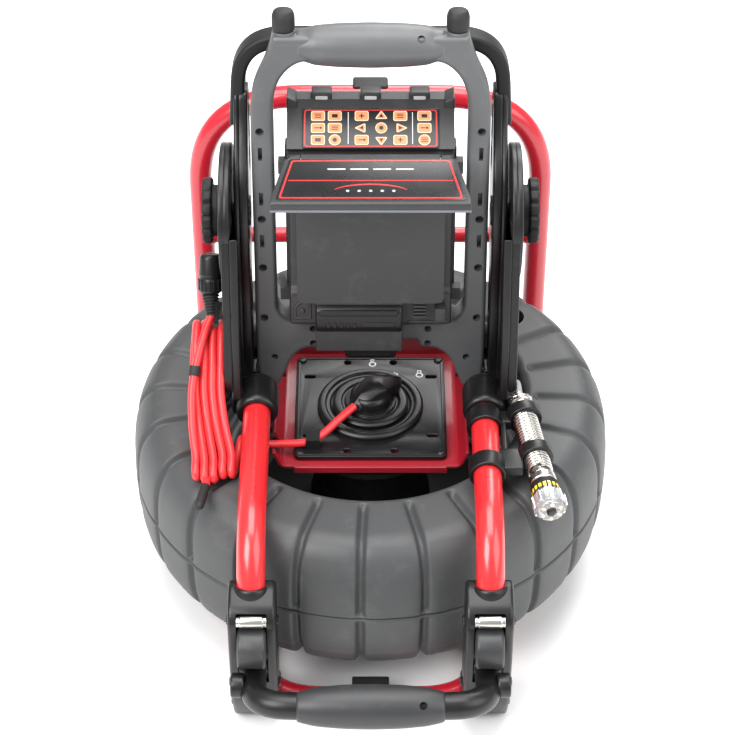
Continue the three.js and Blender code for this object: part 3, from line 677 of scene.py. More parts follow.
def makeDrum(s):
    upperSide = bendPath([(222.6, 0, 0.3), (225, 0, 2), (224, 0, 34), (220, 0, 54), (211, 0, 69), (199, 0, 76),
                          (150, 0, 76), (145, 0, 71), (145, 0, 56)], [1.6, 12, 9, 8, 8, 3.4, 3.4], 5)
    upper = resample(upperSide, s["rowStep"])
    total = sum((b - a).length for a, b in zip(upper, upper[1:]))
    shell = shellMesh(s, upper, [(145, 52), (148, 52), (148, 67), (200, 67), (212, 48), (216, 0.3)], 7, total - 29)
    x, y, r = s["recess"]
    cup = turned([(0, 4), (r - 2, 4), (r, 7), (r, 24), (0, 24)], (x, y, 60), (x, y, 90), 48, 2)
    shell = cut(shell, cup)
    piece("drum_upper_skin", shell, "drum", "drum", ["drum_upper_shell"], sharp=50)
    lowerSide = bendPath([(222.6, 0, -0.3), (225, 0, -2), (224, 0, -34), (220, 0, -54), (211, 0, -69),
                          (199, 0, -76), (62, 0, -76), (62, 0, -68)], [1.6, 12, 9, 8, 8, 1], 5)
    lower = resample(lowerSide, s["rowStep"])
    inner = [(62, -67), (200, -67), (212, -48), (216, -0.3)]
    shell = shellMesh(s, lower, inner, 7, 112, -1)
    piece("drum_lower_skin", shell, "drum", "drum", ["drum_lower_shell"], sharp=50)


coilSettings = {"wire": 4.1, "pitch": 8.5, "inner": 128, "outer": 194, "low": -58, "high": -12}


def makeWindings(s):
    # the push cable lies in the drum in flat layers, each turn beside the last
    points = []
    level, inward = s["low"], False
    while level <= s["high"]:
        turns = int((s["outer"] - s["inner"]) / s["pitch"])
        for k in range(turns * 40):
            grow = k / 40 * s["pitch"]
            r = s["outer"] - grow if inward else s["inner"] + grow
            a = 2 * pi * k / 40
            points.append(Vector((r * cos(a), r * sin(a), level)))
        level += s["pitch"]
        inward = not inward
    piece("push_cable_windings", pipe(points, s["wire"], 8), "push", "drum", ["push_cable_coil"])


makeDrum(drumSettings)
makeWindings(coilSettings)
print("drum made")


# ---------- tube frame ----------
loopSettings = {"radius": 11.1, "cross": 8, "crossHeight": 88, "rear": 225, "half": 168}


def halfLoopPath():
    return bendPath([(0, -228, -99.4), (104, -228, -99.4), (108, -120, -99.4), (168, 40, -99.4), (168, 225, -99.4),
                     (168, 225, 256), (0, 225, 256)], [60, 36, 60, 60, 103], 16)


def closedTube(path, radius, count=28):
    # half a loop, swept with its first and last ring on the mirror plane, and its mirror image
    bm = bmesh.new()
    bm.from_mesh(pipe(path, radius, count))
    bmesh.ops.delete(bm, geom=[f for f in bm.faces if len(f.verts) > 4], context="FACES_ONLY")
    for v in bm.verts:
        if abs(v.co.x) < 0.6:
            v.co.x = 0
    copy = bmesh.ops.duplicate(bm, geom=list(bm.verts) + list(bm.edges) + list(bm.faces))["geom"]
    for v in [g for g in copy if isinstance(g, bmesh.types.BMVert)]:
        v.co.x = -v.co.x
    bmesh.ops.remove_doubles(bm, verts=bm.verts, dist=0.01)
    return fromBm(bm)


def makeLoop(s):
    loop = closedTube(halfLoopPath(), s["radius"], 32)
    bar = turned([(0, 0), (s["cross"], 0), (s["cross"], 2 * s["half"]), (0, 2 * s["half"])],
                 (-s["half"], s["rear"], s["crossHeight"]), (s["half"], s["rear"], s["crossHeight"]), 32, 0)
    fillets = []
    for side in (-1, 1):
        x = side * (s["half"] - s["radius"] + 0.5)
        fillets.append(turned([(0, -3), (s["cross"] + 2.4, -3), (s["cross"] + 1.2, 0.8), (s["cross"], 3), (0, 3)],
                              (x, s["rear"], s["crossHeight"]), (0, s["rear"], s["crossHeight"]), 32, 0.5))
    piece("rear_loop_tube", joinMeshes([loop, bar, *fillets]), "deepRed", "reel_frame", ["base_loop"])


tubeSettings = {"radius": 12.7, "x": 104.5, "height": 95}


def frontPath():
    return bendPath([(104.5, -33, 95), (104.5, -216, 95), (104.5, -246, 40), (104.5, -246, 12)], [44, 12], 16)


def makeFrontTubes(s):
    tube = pipe(frontPath(), s["radius"], 40)
    piece("front_tube_skin_right", tube, "red", "reel_frame", ["front_tube_right"])
    piece("front_tube_skin_left", mirrored(pipe(frontPath(), s["radius"], 40)), "red", "reel_frame",
          ["front_tube_left"])


def makePads():
    rear = cut(slab(boxLine(-17, 17, 221.5, 239.5, 3), 244.5, 269.5, 2.2, axis="Z"),
               turned([(0, 0), (11.4, 0), (11.4, 60), (0, 60)], (-30, 225, 256), (30, 225, 256), 40, 0))
    ribs = [block(x - 1.3, x + 1.3, 239, 240.8, 247, 267, 0.6) for x in (-12, -6, 0, 6, 12)]
    piece("rear_pad_skin", joinMeshes([rear, *ribs]), "rubber", "reel_frame", ["rubber_pad_rear"])
    saddle = roundOff([(-243, -109.6), (-213, -109.6), (-213, -85), (-243, -85)], 3)
    front = cut(slab(saddle, -17, 17, 1.5, axis="X"),
                turned([(0, 0), (11.4, 0), (11.4, 60), (0, 60)], (-30, -228, -99.4), (30, -228, -99.4), 40, 0),
                block(-40, 40, -236, -220, -140, -99.4, 0.1))
    piece("front_pad_skin", front, "rubber", "reel_frame", ["rubber_pad_front"])


makeLoop(loopSettings)
makeFrontTubes(tubeSettings)
makePads()
softCad("base_crossmember", "blackMetal", 0.8)
softCad("drum_hub", "blackMatte", 0.8)
softCad("drum_axle", "steel", 0.6)
softCad("axle_bearing", "steel", 0.4)
print("tube frame made")


# ---------- bracket, plate and lock lever ----------
plateSettings = {"half": 71, "top": 57, "screw": 65.5, "leverAngle": 42}


def makeBracket():
    sheet = slab(roundOff([(-91, 68), (-88.2, 68), (-81.4, 51.4), (81.4, 51.4), (88.2, 68), (91, 68), (83.6, 48.3),
                           (-83.6, 48.3)], [1, 1, 4, 4, 1, 1, 7, 7], 5), -78, 84, 0.7)
    bore = turned([(0, 0), (16, 0), (16, 40), (0, 40)], (0, 0, 30), (0, 0, 70), 48, 0)
    sheet = cut(sheet, bore, block(-60, 60, 40, 62, 40, 60, 0.1, 5), block(-96, -74, -72, -50, 54, 80, 0.1))
    lip = slab(boxLine(-71, 71, 44, 51.5, 2), -80, -77, 1.2)
    back = cut(slab(roundOff([(81, 48.4), (85, 48.4), (97, 78), (94, 78)], [0.6, 4, 0.8, 0.8]), -82, 82, 0.7, axis="X"),
               block(-30, 30, 80, 110, 56, 100, 0.1, 0.1))
    piece("bracket_sheet", joinMeshes([sheet, lip, back]), "crimson", "reel_frame", ["hub_bracket"])


def crossScrew(x, y, z, r=4.2):
    head = turned([(0, 0), (r, 0), (r, 1.2), (r * 0.7, 2.2), (0, 2.5)], (x, y, z), (x, y, z + 5), 28, 0.5)
    return cut(head, block(x - 0.5, x + 0.5, y - 2.4, y + 2.4, z + 1.5, z + 4, 0.05, 0.1),
               block(x - 2.4, x + 2.4, y - 0.5, y + 0.5, z + 1.5, z + 4, 0.05, 0.1))


def makePlate(s):
    half = s["half"]
    holes = []
    for sx in (-1, 1):
        for sy in (-1, 1):
            holes.append(circle(sx * 22, sy * 63, 3))
            holes.append(boxLine(sx * 58 - 5, sx * 58 + 5, sy * 42 - 2, sy * 42 + 2, 2))
    holes.append(circle(0, 0, 16, 48))
    plate = slab(boxLine(-half, half, -half, half, 7), 51.8, s["top"], 1.1, holes, "Z")
    rim = slab(boxLine(-half + 1.5, half - 1.5, -half + 1.5, half - 1.5, 6), s["top"] - 0.6, s["top"] + 0.8, 0.6,
               [boxLine(-half + 4, half - 4, -half + 4, half - 4, 5)], "Z")
    piece("hub_plate_skin", joinMeshes([plate, rim]), "black", "reel_frame", ["hub_plate"])
    for sx in (-1, 1):
        for sy in (-1, 1):
            name = f"plate_screw_{'r' if sx > 0 else 'l'}{'b' if sy > 0 else 'f'}"
            piece(name, crossScrew(sx * s["screw"], sy * s["screw"], s["top"] - 0.2), "blackMetal", "reel_frame")
    ring = turned([(14.2, 57.2), (50, 57.2), (50, 60), (47.6, 62), (43, 62), (41.5, 60.2), (38.5, 60.2),
                   (37.5, 58.6), (14.2, 58.6)], (0, 0, 0), (0, 0, 1), 96, 1)
    piece("slip_ring_skin", ring, "black", "reel_frame", ["slip_ring_housing"])
    marks = []
    for x, y in ((2, 60), (47, 44)):
        ringMark = slab(circle(x, y, 3.6), s["top"] - 0.1, s["top"] + 0.25, 0.1, [circle(x, y, 2.3)], "Z")
        shackle = slab(roundOff([(x - 2, y + 3), (x - 2, y + 7), (x + 2, y + 7), (x + 2, y + (3 if y < 50 else 5))], 1),
                       s["top"] - 0.1, s["top"] + 0.25, 0.1, [boxLine(x - 1.1, x + 1.1, y + 3.6, y + 6, 0.8)], "Z")
        marks += [ringMark, shackle]
    piece("lock_marks", joinMeshes(marks), "inkWhite", "reel_frame")


def makeLever(s):
    disc = turned([(0, 60.3), (36, 60.3), (36, 62.4), (33.5, 64), (28, 64), (26.5, 62.6), (24, 62.6), (24, 64.5),
                   (0, 64.5)], (0, 0, 0), (0, 0, 1), 80, 0.8)
    stem = turned([(0, 46), (13, 46), (13, 62), (0, 62)], (0, 0, 0), (0, 0, 1), 40, 1)
    # the grip is a kite with a ridge along it, rising from the rim to the middle
    bm = bmesh.new()
    rings = []
    for x, half, top in ((-25, 4, 66.5), (-22, 7, 71), (-12, 10.5, 79), (0, 13, 84.5), (8, 14.5, 85), (18, 12.5, 82),
                         (28, 8.6, 77.5), (35, 4.6, 73.5), (38.6, 1.6, 70.5)):
        profile = [(-half, 63), (-half, top - 6.5), (-half * 0.92, top - 4), (-half * 0.55, top - 1.4), (0, top),
                   (half * 0.55, top - 1.4), (half * 0.92, top - 4), (half, top - 6.5), (half, 63)]
        rings.append([bm.verts.new((x, y, max(63, z))) for y, z in profile])
    for one, two in zip(rings, rings[1:]):
        for k in range(len(one)):
            n = (k + 1) % len(one)
            bm.faces.new((one[k], one[n], two[n], two[k]))
    bm.faces.new(rings[0])
    bm.faces.new(rings[-1])
    grip = fromBm(bm)
    grip.transform(Matrix.Rotation(radians(s["leverAngle"]), 4, "Z"))
    soft = bpy.data.objects.new("soft", joinMeshes([grip]))
    bpy.context.collection.objects.link(soft)
    bevel = soft.modifiers.new("edge", "BEVEL")
    bevel.width = 1.2
    bevel.segments = 3
    bevel.angle_limit = radians(24)
    graph = bpy.context.evaluated_depsgraph_get()
    grip = bpy.data.meshes.new_from_object(soft.evaluated_get(graph), depsgraph=graph)
    bpy.data.objects.remove(soft)
    collar = turned([(0, 62), (20, 62), (19, 72), (16, 76), (0, 76)], (0, 0, 0), (0, 0, 1), 64, 2)
    piece("lock_lever_skin", joinMeshes([disc, stem, grip, collar]), "black", "lock_lever", ["drum_lock_knob"])
    arrow = slab([(31.2, -3), (35.4, 0), (31.2, 3)], 77.3, 77.6, 0.05, axis="Z")
    arrow.transform(Matrix.Rotation(radians(s["leverAngle"]), 4, "Z") @ Matrix.Translation((33, 0, 76)) @
                    Matrix.Rotation(radians(30), 4, "Y") @ Matrix.Translation((-33, 0, -76)))
    piece("lever_arrow", arrow, "inkWhite", "lock_lever")


makeBracket()
makePlate(plateSettings)
makeLever(plateSettings)
softCad("cable_clip", "blackMatte", 0.8)
print("bracket and lever made")


# ---------- side arms and pivot knobs ----------
armSettings = {
    "pivot": (46.4, 252.8), "disc": 62, "low": 125.3, "high": 131,
    "blade": [(-14, 266), (-36, 180), (-50, 128), (-50, 116), (-22, 108), (-10, 100), (40, 92), (60, 86), (212, 80),
              (236, 78), (238, 98), (212, 102), (90, 118), (80, 150), (106, 236)],
}


def makeArm(s):
    y, z = s["pivot"]
    outline = roundOff(s["blade"], [6, 20, 10, 6, 8, 8, 12, 8, 10, 6, 6, 12, 30, 40, 8])
    blade = slab(outline, s["low"], s["high"], 1.6, axis="X")
    lightening = [
        roundOff([(-20, 190), (14, 176), (50, 178), (74, 186), (66, 150), (70, 122), (40, 112), (-30, 130), (-34, 142)], 9),
        roundOff([(96, 104), (200, 92), (200, 97), (100, 112)], 3),
    ]
    panel = slab(outline, s["high"] - 2, s["high"] + 2.4, 1.1, lightening, "X")
    disc = slab(circle(y, z, s["disc"], 96), s["low"], s["high"], 1.6, axis="X")
    rim = slab(circle(y, z, s["disc"], 96), s["high"] - 1, s["high"] + 4.4, 1.2, [circle(y, z, s["disc"] - 4.4, 96)], "X")
    ribs = []
    for k in range(12):
        a = 2 * pi * k / 12
        rib = slab(boxLine(33, 59, -1.1, 1.1, 0.6), s["high"] - 1, s["high"] + 2.6, 0.6, axis="X")
        rib.transform(Matrix.Translation((0, y, z)) @ Matrix.Rotation(a, 4, "X"))
        ribs.append(rib)
    wall = slab(roundOff([(-15, 266), (-9, 262), (-26, 180), (-42, 112), (-52, 108), (-38, 180)], [2, 2, 20, 3, 3, 20]),
                118.4, 126, 1.6, axis="X")
    socket = turned([(12.9, -3), (17.4, -3), (19.6, 1), (19.6, 30), (17, 36), (0, 36), (0, 20), (12.9, 20)],
                    (104.5, -52, 95), (104.5, -16, 95), 64, 2)
    flow = slab(roundOff([(108, 84), (128, 84), (128, 108), (108, 108)], [4, 6, 6, 4], 5), -44, -16, 3)
    bolts = [turned([(0, 0), (4.6, 0), (4.6, 2.6), (3.4, 3.4), (0, 3.4)], (s["high"] + 1, by, bz),
                    (s["high"] + 4, by, bz), 6, 0.3) for by, bz in ((-30, 108), (225, 90), (60, 100))]
    whole = joinMeshes([blade, panel, disc, rim, wall, socket, flow, *ribs, *bolts])
    return whole


def makeArms(s):
    piece("side_arm_skin_right", makeArm(s), "black", "reel_frame", ["side_arm_right"])
    piece("side_arm_skin_left", mirrored(makeArm(s)), "black", "reel_frame", ["side_arm_left"])


knobSettings = {"teeth": 14, "outer": 30, "dip": 2.4, "from": 143, "to": 152}


def makeKnob(s, y, z):
    edge = []
    for k in range(s["teeth"] * 12):
        a = 2 * pi * k / (s["teeth"] * 12)
        wave = max(0, cos(a * s["teeth"])) ** 2
        edge.append((y + (s["outer"] - s["dip"] * wave) * cos(a), z + (s["outer"] - s["dip"] * wave) * sin(a)))
    grip = slab(edge, s["from"], s["to"], 2, [circle(y, z, 15, 48)], "X")
    core = turned([(0, -14), (6.9, -14), (6.9, 0.6), (22, 0.6), (23.5, 8), (23.5, 13), (17, 15), (15.2, 19.5),
                   (12.5, 19.5), (11, 17), (6, 17), (5.4, 19), (0, 19)], (131, y, z), (140, y, z), 64, 0.8)
    return joinMeshes([grip, core])


def makeKnobs(s):
    y, z = armSettings["pivot"]
    piece("pivot_knob_skin_right", makeKnob(s, y, z), "blackMatte", "knob_right", ["pivot_knob_right"])
    piece("pivot_knob_skin_left", mirrored(makeKnob(s, y, z)), "blackMatte", "knob_left", ["pivot_knob_left"])


makeArms(armSettings)
makeKnobs(knobSettings)
print("side arms made")


# ---------- dock ----------
dockSettings = {
    "band": 13,
    "outline": [(-14, -10), (10, -10), (14, 6), (18, 60), (26, 120), (44, 150), (50, 190), (50, 250), (47, 284),
                (20, 284), (10, 250), (-20, 215), (-26, 175), (-22, 140), (-14, 100), (-16, 40)],
    "pockets": [
        [(29, 200), (42, 202), (43, 226), (23, 226), (22, 214)], [(22, 231), (43, 231), (43, 262), (25, 268)],
        [(25.5, 272), (42.6, 266), (41, 278), (25, 278)], [(-8, 14), (8, 14), (11, 56), (-9, 52)],
        [(-9, 60), (11, 64), (16, 108), (-7, 92)],
    ],
}


def makeDockArm(s):
    outline = roundOff(s["outline"], [6, 6, 20, 30, 20, 20, 20, 30, 8, 8, 20, 24, 20, 30, 30, 20])
    pockets = [roundOff(p, 4) for p in s["pockets"]]
    axleHole = circle(0, 175, 7.3, 40)
    ribbed = slab(outline, 110, 118.5, 1.8, [*pockets, axleHole], "X")
    web = slab(outline, 117.4, 123, 2.4, [axleHole], "X")
    boss = slab(circle(0, 175, 14, 48), 108.6, 112, 1, [circle(0, 175, 7.4, 40)], "X")
    lug = slab(boxLine(-11.6, 9.6, -8.6, 11.6, 3), 107, 112, 1, axis="X")
    pin = turned([(0, 0), (4, 0), (4, 34), (0, 34)], (80, 0, 2), (114, 0, 2), 32, 0.8)
    return joinMeshes([ribbed, web, boss, lug, pin])


def bandMesh(s):
    # one flat strap climbs both arms and bends over behind the screen
    path = bendPath([(-120.5, 0, 250), (-116.5, 0, 331), (116.5, 0, 331), (120.5, 0, 250)], [40, 40], 14)
    outer, inner = [], []
    for i, spot in enumerate(path):
        along = (path[min(i + 1, len(path) - 1)] - path[max(i - 1, 0)]).normalized()
        across = Vector((along.z, 0, -along.x)) * s["band"] / 2
        outer.append((spot.x - across.x, spot.z - across.z))
        inner.append((spot.x + across.x, spot.z + across.z))
    return slab(outer + inner[::-1], 20, 46, 3.4, segments=5)


def makeDock(s):
    piece("dock_arm_skin_right", makeDockArm(s), "black", "dock", ["dock_arm_right"], leanPlace)
    piece("dock_arm_skin_left", mirrored(makeDockArm(s)), "black", "dock", ["dock_arm_left"], leanPlace)
    piece("dock_crossbar_skin", bandMesh(s), "blackMatte", "dock", ["dock_crossbar"], leanPlace)


frameSettings = {
    "right": [(86.5, -6), (96.5, -7), (104.5, 2), (106.5, 24), (106.5, 286), (103, 304), (92, 328), (87, 344),
              (86, 350), (66, 350)],
    "lower": [(-80, 10), (-74, 26), (-62, 36), (-46, 37), (-44, 45), (44, 45), (46, 37), (62, 36), (74, 26), (80, 10)],
    "opening": [(-86.5, 76), (-76, 64), (76, 64), (86.5, 76), (86.5, 290), (80, 312), (64, 327), (-64, 327),
                (-80, 312), (-86.5, 290)],
    "holes": (260, 172.5, 122.5, 69.5), "slots": (238, 193, 150), "grip": 338,
}


def makeMonitorFrame(s):
    right = s["right"]
    left = [(-x, z) for x, z in reversed(right)]
    radii = [8, 4, 8, 12, 14, 14, 12, 8, 5, 4]
    outline = roundOff(right + left + s["lower"], radii + radii[::-1] + [8, 12, 8, 3, 4, 4, 3, 8, 12, 8])
    opening = roundOff(s["opening"], [9, 12, 12, 9, 16, 18, 12, 12, 18, 16])
    body = slab(outline, -13, 13, 4.2, [opening], segments=5)
    cutters = []
    for side in (-1, 1):
        x = side * 98.5
        for z in s["holes"]:
            cutters.append(turned([(0, 0), (3.3, 0), (3.9, 9), (0, 9)], (x, -5, z), (x, -14, z), 24, 0))
        for z in s["slots"]:
            cutters.append(block(x - 1.9, x + 1.9, -20, -5, z - 6.5, z + 6.5, 0.3, 0.6))
        for hx, z in ((53.3, 42), (53.3, 57.5), (89.5, 27)):
            cutters.append(turned([(0, 0), (3, 0), (3.4, 9), (0, 9)], (side * hx, -5, z), (side * hx, -14, z), 24, 0))
        cutters.append(turned([(0, 0), (4.3, 0), (4.3, 39), (0, 39)], (side * 76, 0, 2), (side * 115, 0, 2), 32, 0))
    cutters.append(block(-26, 26, -30, -5.5, 30, 60, 0.5, 1))
    body = cut(body, *cutters)
    extras = []
    for side in (-1, 1):
        extras.append(turned([(0, 340), (10.8, 340), (10, 352.2), (0, 352.2)], (side * 76, 0, 0), (side * 76, 0, 1), 40, 1))
    grip = turned([(0, -66), (13.6, -66), (14.4, -58), (17.4, -50), (19.2, -30), (20, 0), (19.2, 30), (17.4, 50),
                   (14.4, 58), (13.6, 66), (0, 66)], (0, 0, s["grip"]), (1, 0, s["grip"]), 64, 6)
    screw = turned([(0, 0), (3.4, 0), (3.4, 30), (0, 30)], (44, -8, 346), (44, -30, 360), 24, 0)
    grip = cut(grip, screw)
    piece("monitor_frame_skin", joinMeshes([body, grip, *extras]), "frame", "dock", ["monitor_frame"], leanPlace)
    for side, name in ((1, "right"), (-1, "left")):
        foot = turned([(0, 352.5), (9.5, 352.5), (10.2, 356), (10.2, 366), (8.4, 371), (0, 373)],
                      (side * 76, 0, 0), (side * 76, 0, 1), 48, 1.6)
        piece(f"bumper_skin_{name}", foot, "rubber", "dock", [f"bumper_{name}"], leanPlace)


makeDock(dockSettings)
makeMonitorFrame(frameSettings)
print("dock and frame made")


# ---------- screen unit ----------
bezelSettings = {"half": 74, "window": 57.6, "mouth": 65, "slots": 5}


def loftBox(sections, edge=0.0, corner=2.0):
    # rounded rectangles (x half width, y, low z, high z) joined one after another
    bm = bmesh.new()
    rings = []
    for half, y, low, high in sections:
        loop = roundOff([(-half, low), (half, low), (half, high), (-half, high)], corner, 4)
        rings.append([bm.verts.new((x, y, z)) for x, z in loop])
    for one, two in zip(rings, rings[1:]):
        for k in range(len(one)):
            n = (k + 1) % len(one)
            bm.faces.new((one[k], one[n], two[n], two[k]))
    bm.faces.new(rings[0])
    bm.faces.new(rings[-1])
    return fromBm(bm)


def makeBezel(s):
    profile = roundOff([(-30, 72), (-6.3, 72), (-6.3, 238), (-22, 236), (-24, 226), (-24, 110), (-30, 105)],
                       [3, 1, 1, 3, 3, 2, 3])
    front = slab(profile, -s["half"], s["half"], 2.4, axis="X")
    mouth = loftBox([(s["mouth"] + 1.5, -40, 100.5, 213), (s["mouth"], -24, 104.5, 209), (61.5, -16.4, 108.5, 204.5),
                     (61, -14.5, 109, 204)], corner=7)
    sight = loftBox([(s["window"] + 0.7, -16, 111.2, 200.8), (s["window"], -8, 112, 200), (s["window"], 0, 112, 200)],
                    corner=3)
    bay = block(-50.3, 29.3, -40, -12, 50, 100.3, 0.4, 1.5)
    cutters = [mouth, sight, bay]
    for k in range(s["slots"]):
        cutters.append(block(39, 51, -40, -26, 85 + k * 3.6, 86.6 + k * 3.6, 0.3, 0.6))
    cutters.append(block(58.7, 68.3, -40, -25.5, 81.7, 94.3, 0.3, 1))
    front = cut(front, *cutters)
    lugOutline = roundOff([(-31, 236), (-27, 233), (-12, 232), (-12, 237.5), (-27, 244.4), (-31, 243)], [3, 3, 1, 1, 4, 4])
    lugs = [slab(lugOutline, 62.2, 71.8, 0.9, axis="X"), slab(lugOutline, -71.8, -62.2, 0.9, axis="X")]
    # steps and details on the lower panel
    lip = slab(boxLine(-72, 72, 103.6, 105.2, 0.7), -31, -28, 0.7)
    foot = slab(boxLine(34, 71, 74, 77, 1.2), -31.2, -28, 0.9)
    cheek = slab(roundOff([(-71, 78), (-54, 78), (-54, 99), (-60, 102), (-71, 92)], [2, 2, 2, 4, 3]), -31, -28, 0.8,
                 [roundOff([(-68, 81), (-57, 81), (-57, 96), (-60, 98), (-68, 89.5)], 1.5)])
    post = turned([(0, 0), (2.6, 0), (2.6, 2.2), (1.8, 3), (0, 3)], (-62.5, -29, 87), (-62.5, -33, 87), 24, 0.5)
    piece("bezel_skin", joinMeshes([front, *lugs, lip, foot, cheek, post]), "case", "dock", ["monitor_bezel"], leanPlace)
    socket = slab(circle(63.5, 99.4, 2.1, 24), -30.6, -29.4, 0.3, [circle(63.5, 99.4, 1.1, 24)])
    mark = slab(roundOff([(62.2, 96), (64.8, 96), (63.5, 97.2)], 0.2), -30.3, -29.7, 0.1)
    piece("port_marks", joinMeshes([socket, mark]), "inkWhite", "dock", place=leanPlace)
    # a painted highlight: a thin lighter grey ring around the display opening stands in for the glint along the bezel
    # step
    paintedGlintRing = slab(boxLine(-64.2, 64.2, 100.6, 213, 6.8), -24.5, -23.8, 0.25, [boxLine(-62.6, 62.6, 102.2, 211.4, 6)])
    piece("bezel_step_painted_glint", paintedGlintRing, "side", "dock", place=leanPlace)


def makeHousing():
    softCad("monitor_housing", "case", 2.2)
    trims = []
    for side in (-1, 1):
        strip = slab(roundOff([(side * 66, 262), (side * 75.4, 262), (side * 75.4, 278), (side * 66, 274)], 2), 20, 45, 1.6)
        trims.append(strip)
        rail = slab(boxLine(min(side * 73, side * 77.4), max(side * 73, side * 77.4), 92, 236, 1.5), 6, 26, 1.2)
        trims.append(rail)
    for x in (-44, 0, 44):
        trims.append(slab(boxLine(x - 9.4, x + 9.4, 268, 279.4, 2.4), 27, 43, 1.8))
    piece("housing_trim", joinMeshes(trims), "case", "dock", place=leanPlace)
    lights = [slab(boxLine(x - 5.5, x + 5.5, 273, 276.4, 1.2), 26.2, 27.6, 0.4) for x in (-44, 0, 44)]
    piece("knuckle_inlays", joinMeshes(lights), "silver", "dock", place=leanPlace)


batterySettings = {"profile": [(-46, 76), (-40, 70), (-18, 66), (-12.3, 68), (-12.3, 100), (-40, 100), (-46, 95)]}


def makeBattery(s):
    pack = slab(roundOff(s["profile"], [4, 4, 4, 2, 1, 5, 5]), -50, 29, 2.2, axis="X")
    ribs = [slab(boxLine(-40 + 6 * k, -37 + 6 * k, 78, 83, 1), -47, -44, 0.7) for k in range(5)]
    step = slab(boxLine(-46, 25, 90, 96, 2), -46.4, -42, 1)
    band = slab(boxLine(-8, 22, 78.5, 84, 2), -46.8, -43, 0.8)
    piece("battery_skin", joinMeshes([pack, *ribs, step, band]), "black", "battery", ["battery_pack"], leanPlace)


def makeLatch():
    base = slab(boxLine(-24, 24, 31, 57.5, 4), -22, -5.8, 1.8)
    front = slab(boxLine(-20, 20, 33, 54, 3), -23.4, -16, 1)
    ribs = [slab(boxLine(-17.5, 17.5, 34.6 + k * 5, 36.8 + k * 5, 0.8), -24, -21, 0.8) for k in range(4)]
    pin = turned([(0, 0), (2.2, 0), (2.2, 50), (0, 50)], (-25, -11, 35), (25, -11, 35), 24, 0.4)
    piece("dock_latch_skin", joinMeshes([base, front, *ribs, pin]), "black", "latch", ["dock_latch"], leanPlace)


hoodSettings = {"hinge": (-27, 240), "near": 75, "far": 87, "slope": 8.9}


def flared(mesh, s):
    for v in mesh.vertices:
        grow = min(1, max(0, (-28 - v.co.y) / 64))
        v.co.x *= (s["near"] + (s["far"] - s["near"]) * grow) / s["far"]
    return mesh


def onRoof(mesh, s):
    # flat artwork drawn as (x, distance down the roof), laid on the sloping roof
    mesh.transform(Matrix.Translation((0, -30, 244.2)) @ Matrix.Rotation(radians(s["slope"]), 4, "X"))
    return mesh


def makeHood(s):
    roofOutline = roundOff([(-98, 225), (-98, 233.5), (-30, 244.2), (-27, 244.9), (-27, 240), (-32, 239.6),
                            (-92, 229.5), (-92, 225)], [1, 2.4, 3, 1, 1, 3, 3, 1])
    roof = slab(roofOutline, -s["far"], s["far"], 1, axis="X")
    bm = bmesh.new()
    bm.from_mesh(roof)
    for x in [k * 6 for k in range(-14, 15)]:
        bmesh.ops.bisect_plane(bm, geom=list(bm.verts) + list(bm.edges) + list(bm.faces), plane_co=(x, 0, 0),
                               plane_no=(1, 0, 0))
    for y in range(-90, -30, 10):
        bmesh.ops.bisect_plane(bm, geom=list(bm.verts) + list(bm.edges) + list(bm.faces), plane_co=(0, y, 0),
                               plane_no=(0, 1, 0))
    roof = flared(fromBm(bm), s)
    wing = roundOff([(-97, 226), (-96, 233), (-31, 243), (-34, 230), (-60, 222)], [2, 3, 2, 6, 10])
    wings = [flared(slab(wing, s["far"] - 2.6, s["far"], 0.8, axis="X"), s),
             flared(slab(wing, -s["far"], -s["far"] + 2.6, 0.8, axis="X"), s)]
    clear = [block(61.7, 95, -33.5, -5, 228, 252, 0.2), block(-95, -61.7, -33.5, -5, 228, 252, 0.2)]
    roof = cut(roof, *clear)
    barrel = turned([(2.3, 0), (4.6, 0), (4.6, 123.2), (2.3, 123.2)], (-61.6, *s["hinge"]), (61.6, *s["hinge"]), 36, 0.4)
    piece("hood_skin", joinMeshes([roof, *wings, barrel]), "case", "hood", ["sun_hood"], leanPlace)
    # a painted highlight: a lighter grey strip along the hood's front edge stands in for light catching the brow
    paintedBrowHighlight = slab(roundOff([(-98.6, 224.6), (-98.6, 226.8), (-94.6, 226.8), (-94.6, 224.6)], 0.7), -s["far"], s["far"], 0.6,
                axis="X")
    piece("hood_brow_painted_highlight", paintedBrowHighlight, "side", "hood", place=leanPlace)

    def band(rows, low, high, edge=0.08):
        return onRoof(slab(rows, low, high, edge, axis="Z"), s)

    def trapezoid(inset, near, far):
        wide = lambda y: s["near"] - 4 + (s["far"] - s["near"]) * min(1, -y / 66) - inset
        return roundOff([(-wide(-near), -near), (-wide(-far), -far), (wide(-far), -far), (wide(-near), -near)], 3)

    plate = band(trapezoid(0, 4, 64), -0.2, 0.35, 0.2)
    piece("hood_plate", plate, "film", "hood", place=leanPlace)
    border = onRoof(slab(trapezoid(2.4, 6, 62), 0.2, 0.62, 0.1, [trapezoid(4, 7.6, 60.4)], "Z"), s)
    divider = band(boxLine(-72, 72, -36.6, -35.2, 0.3), 0.2, 0.6)
    piece("hood_border", joinMeshes([border, divider]), "inkRed", "hood", place=leanPlace)
    arc = []
    for k in range(25):
        a = pi * (0.12 + 0.76 * k / 24)
        arc.append((34 * cos(a), -54 + 13.5 * sin(a)))
    for k in range(25):
        a = pi * (0.88 - 0.76 * k / 24)
        arc.append((34 * cos(a), -54 + 11.6 * sin(a)))
    piece("hood_arc", band(arc, 0.2, 0.58), "inkRed", "hood", place=leanPlace)
    bars = [band(boxLine(-38 + 20 * k, -22 + 20 * k, -20, -18, 0.8), 0.2, 0.58) for k in range(4)]
    dots = [band(circle(-20 + 10 * k, -51, 1.5, 20), 0.2, 0.58) for k in range(5)]
    piece("hood_ticks", joinMeshes([*bars, *dots]), "silver", "hood", place=leanPlace)


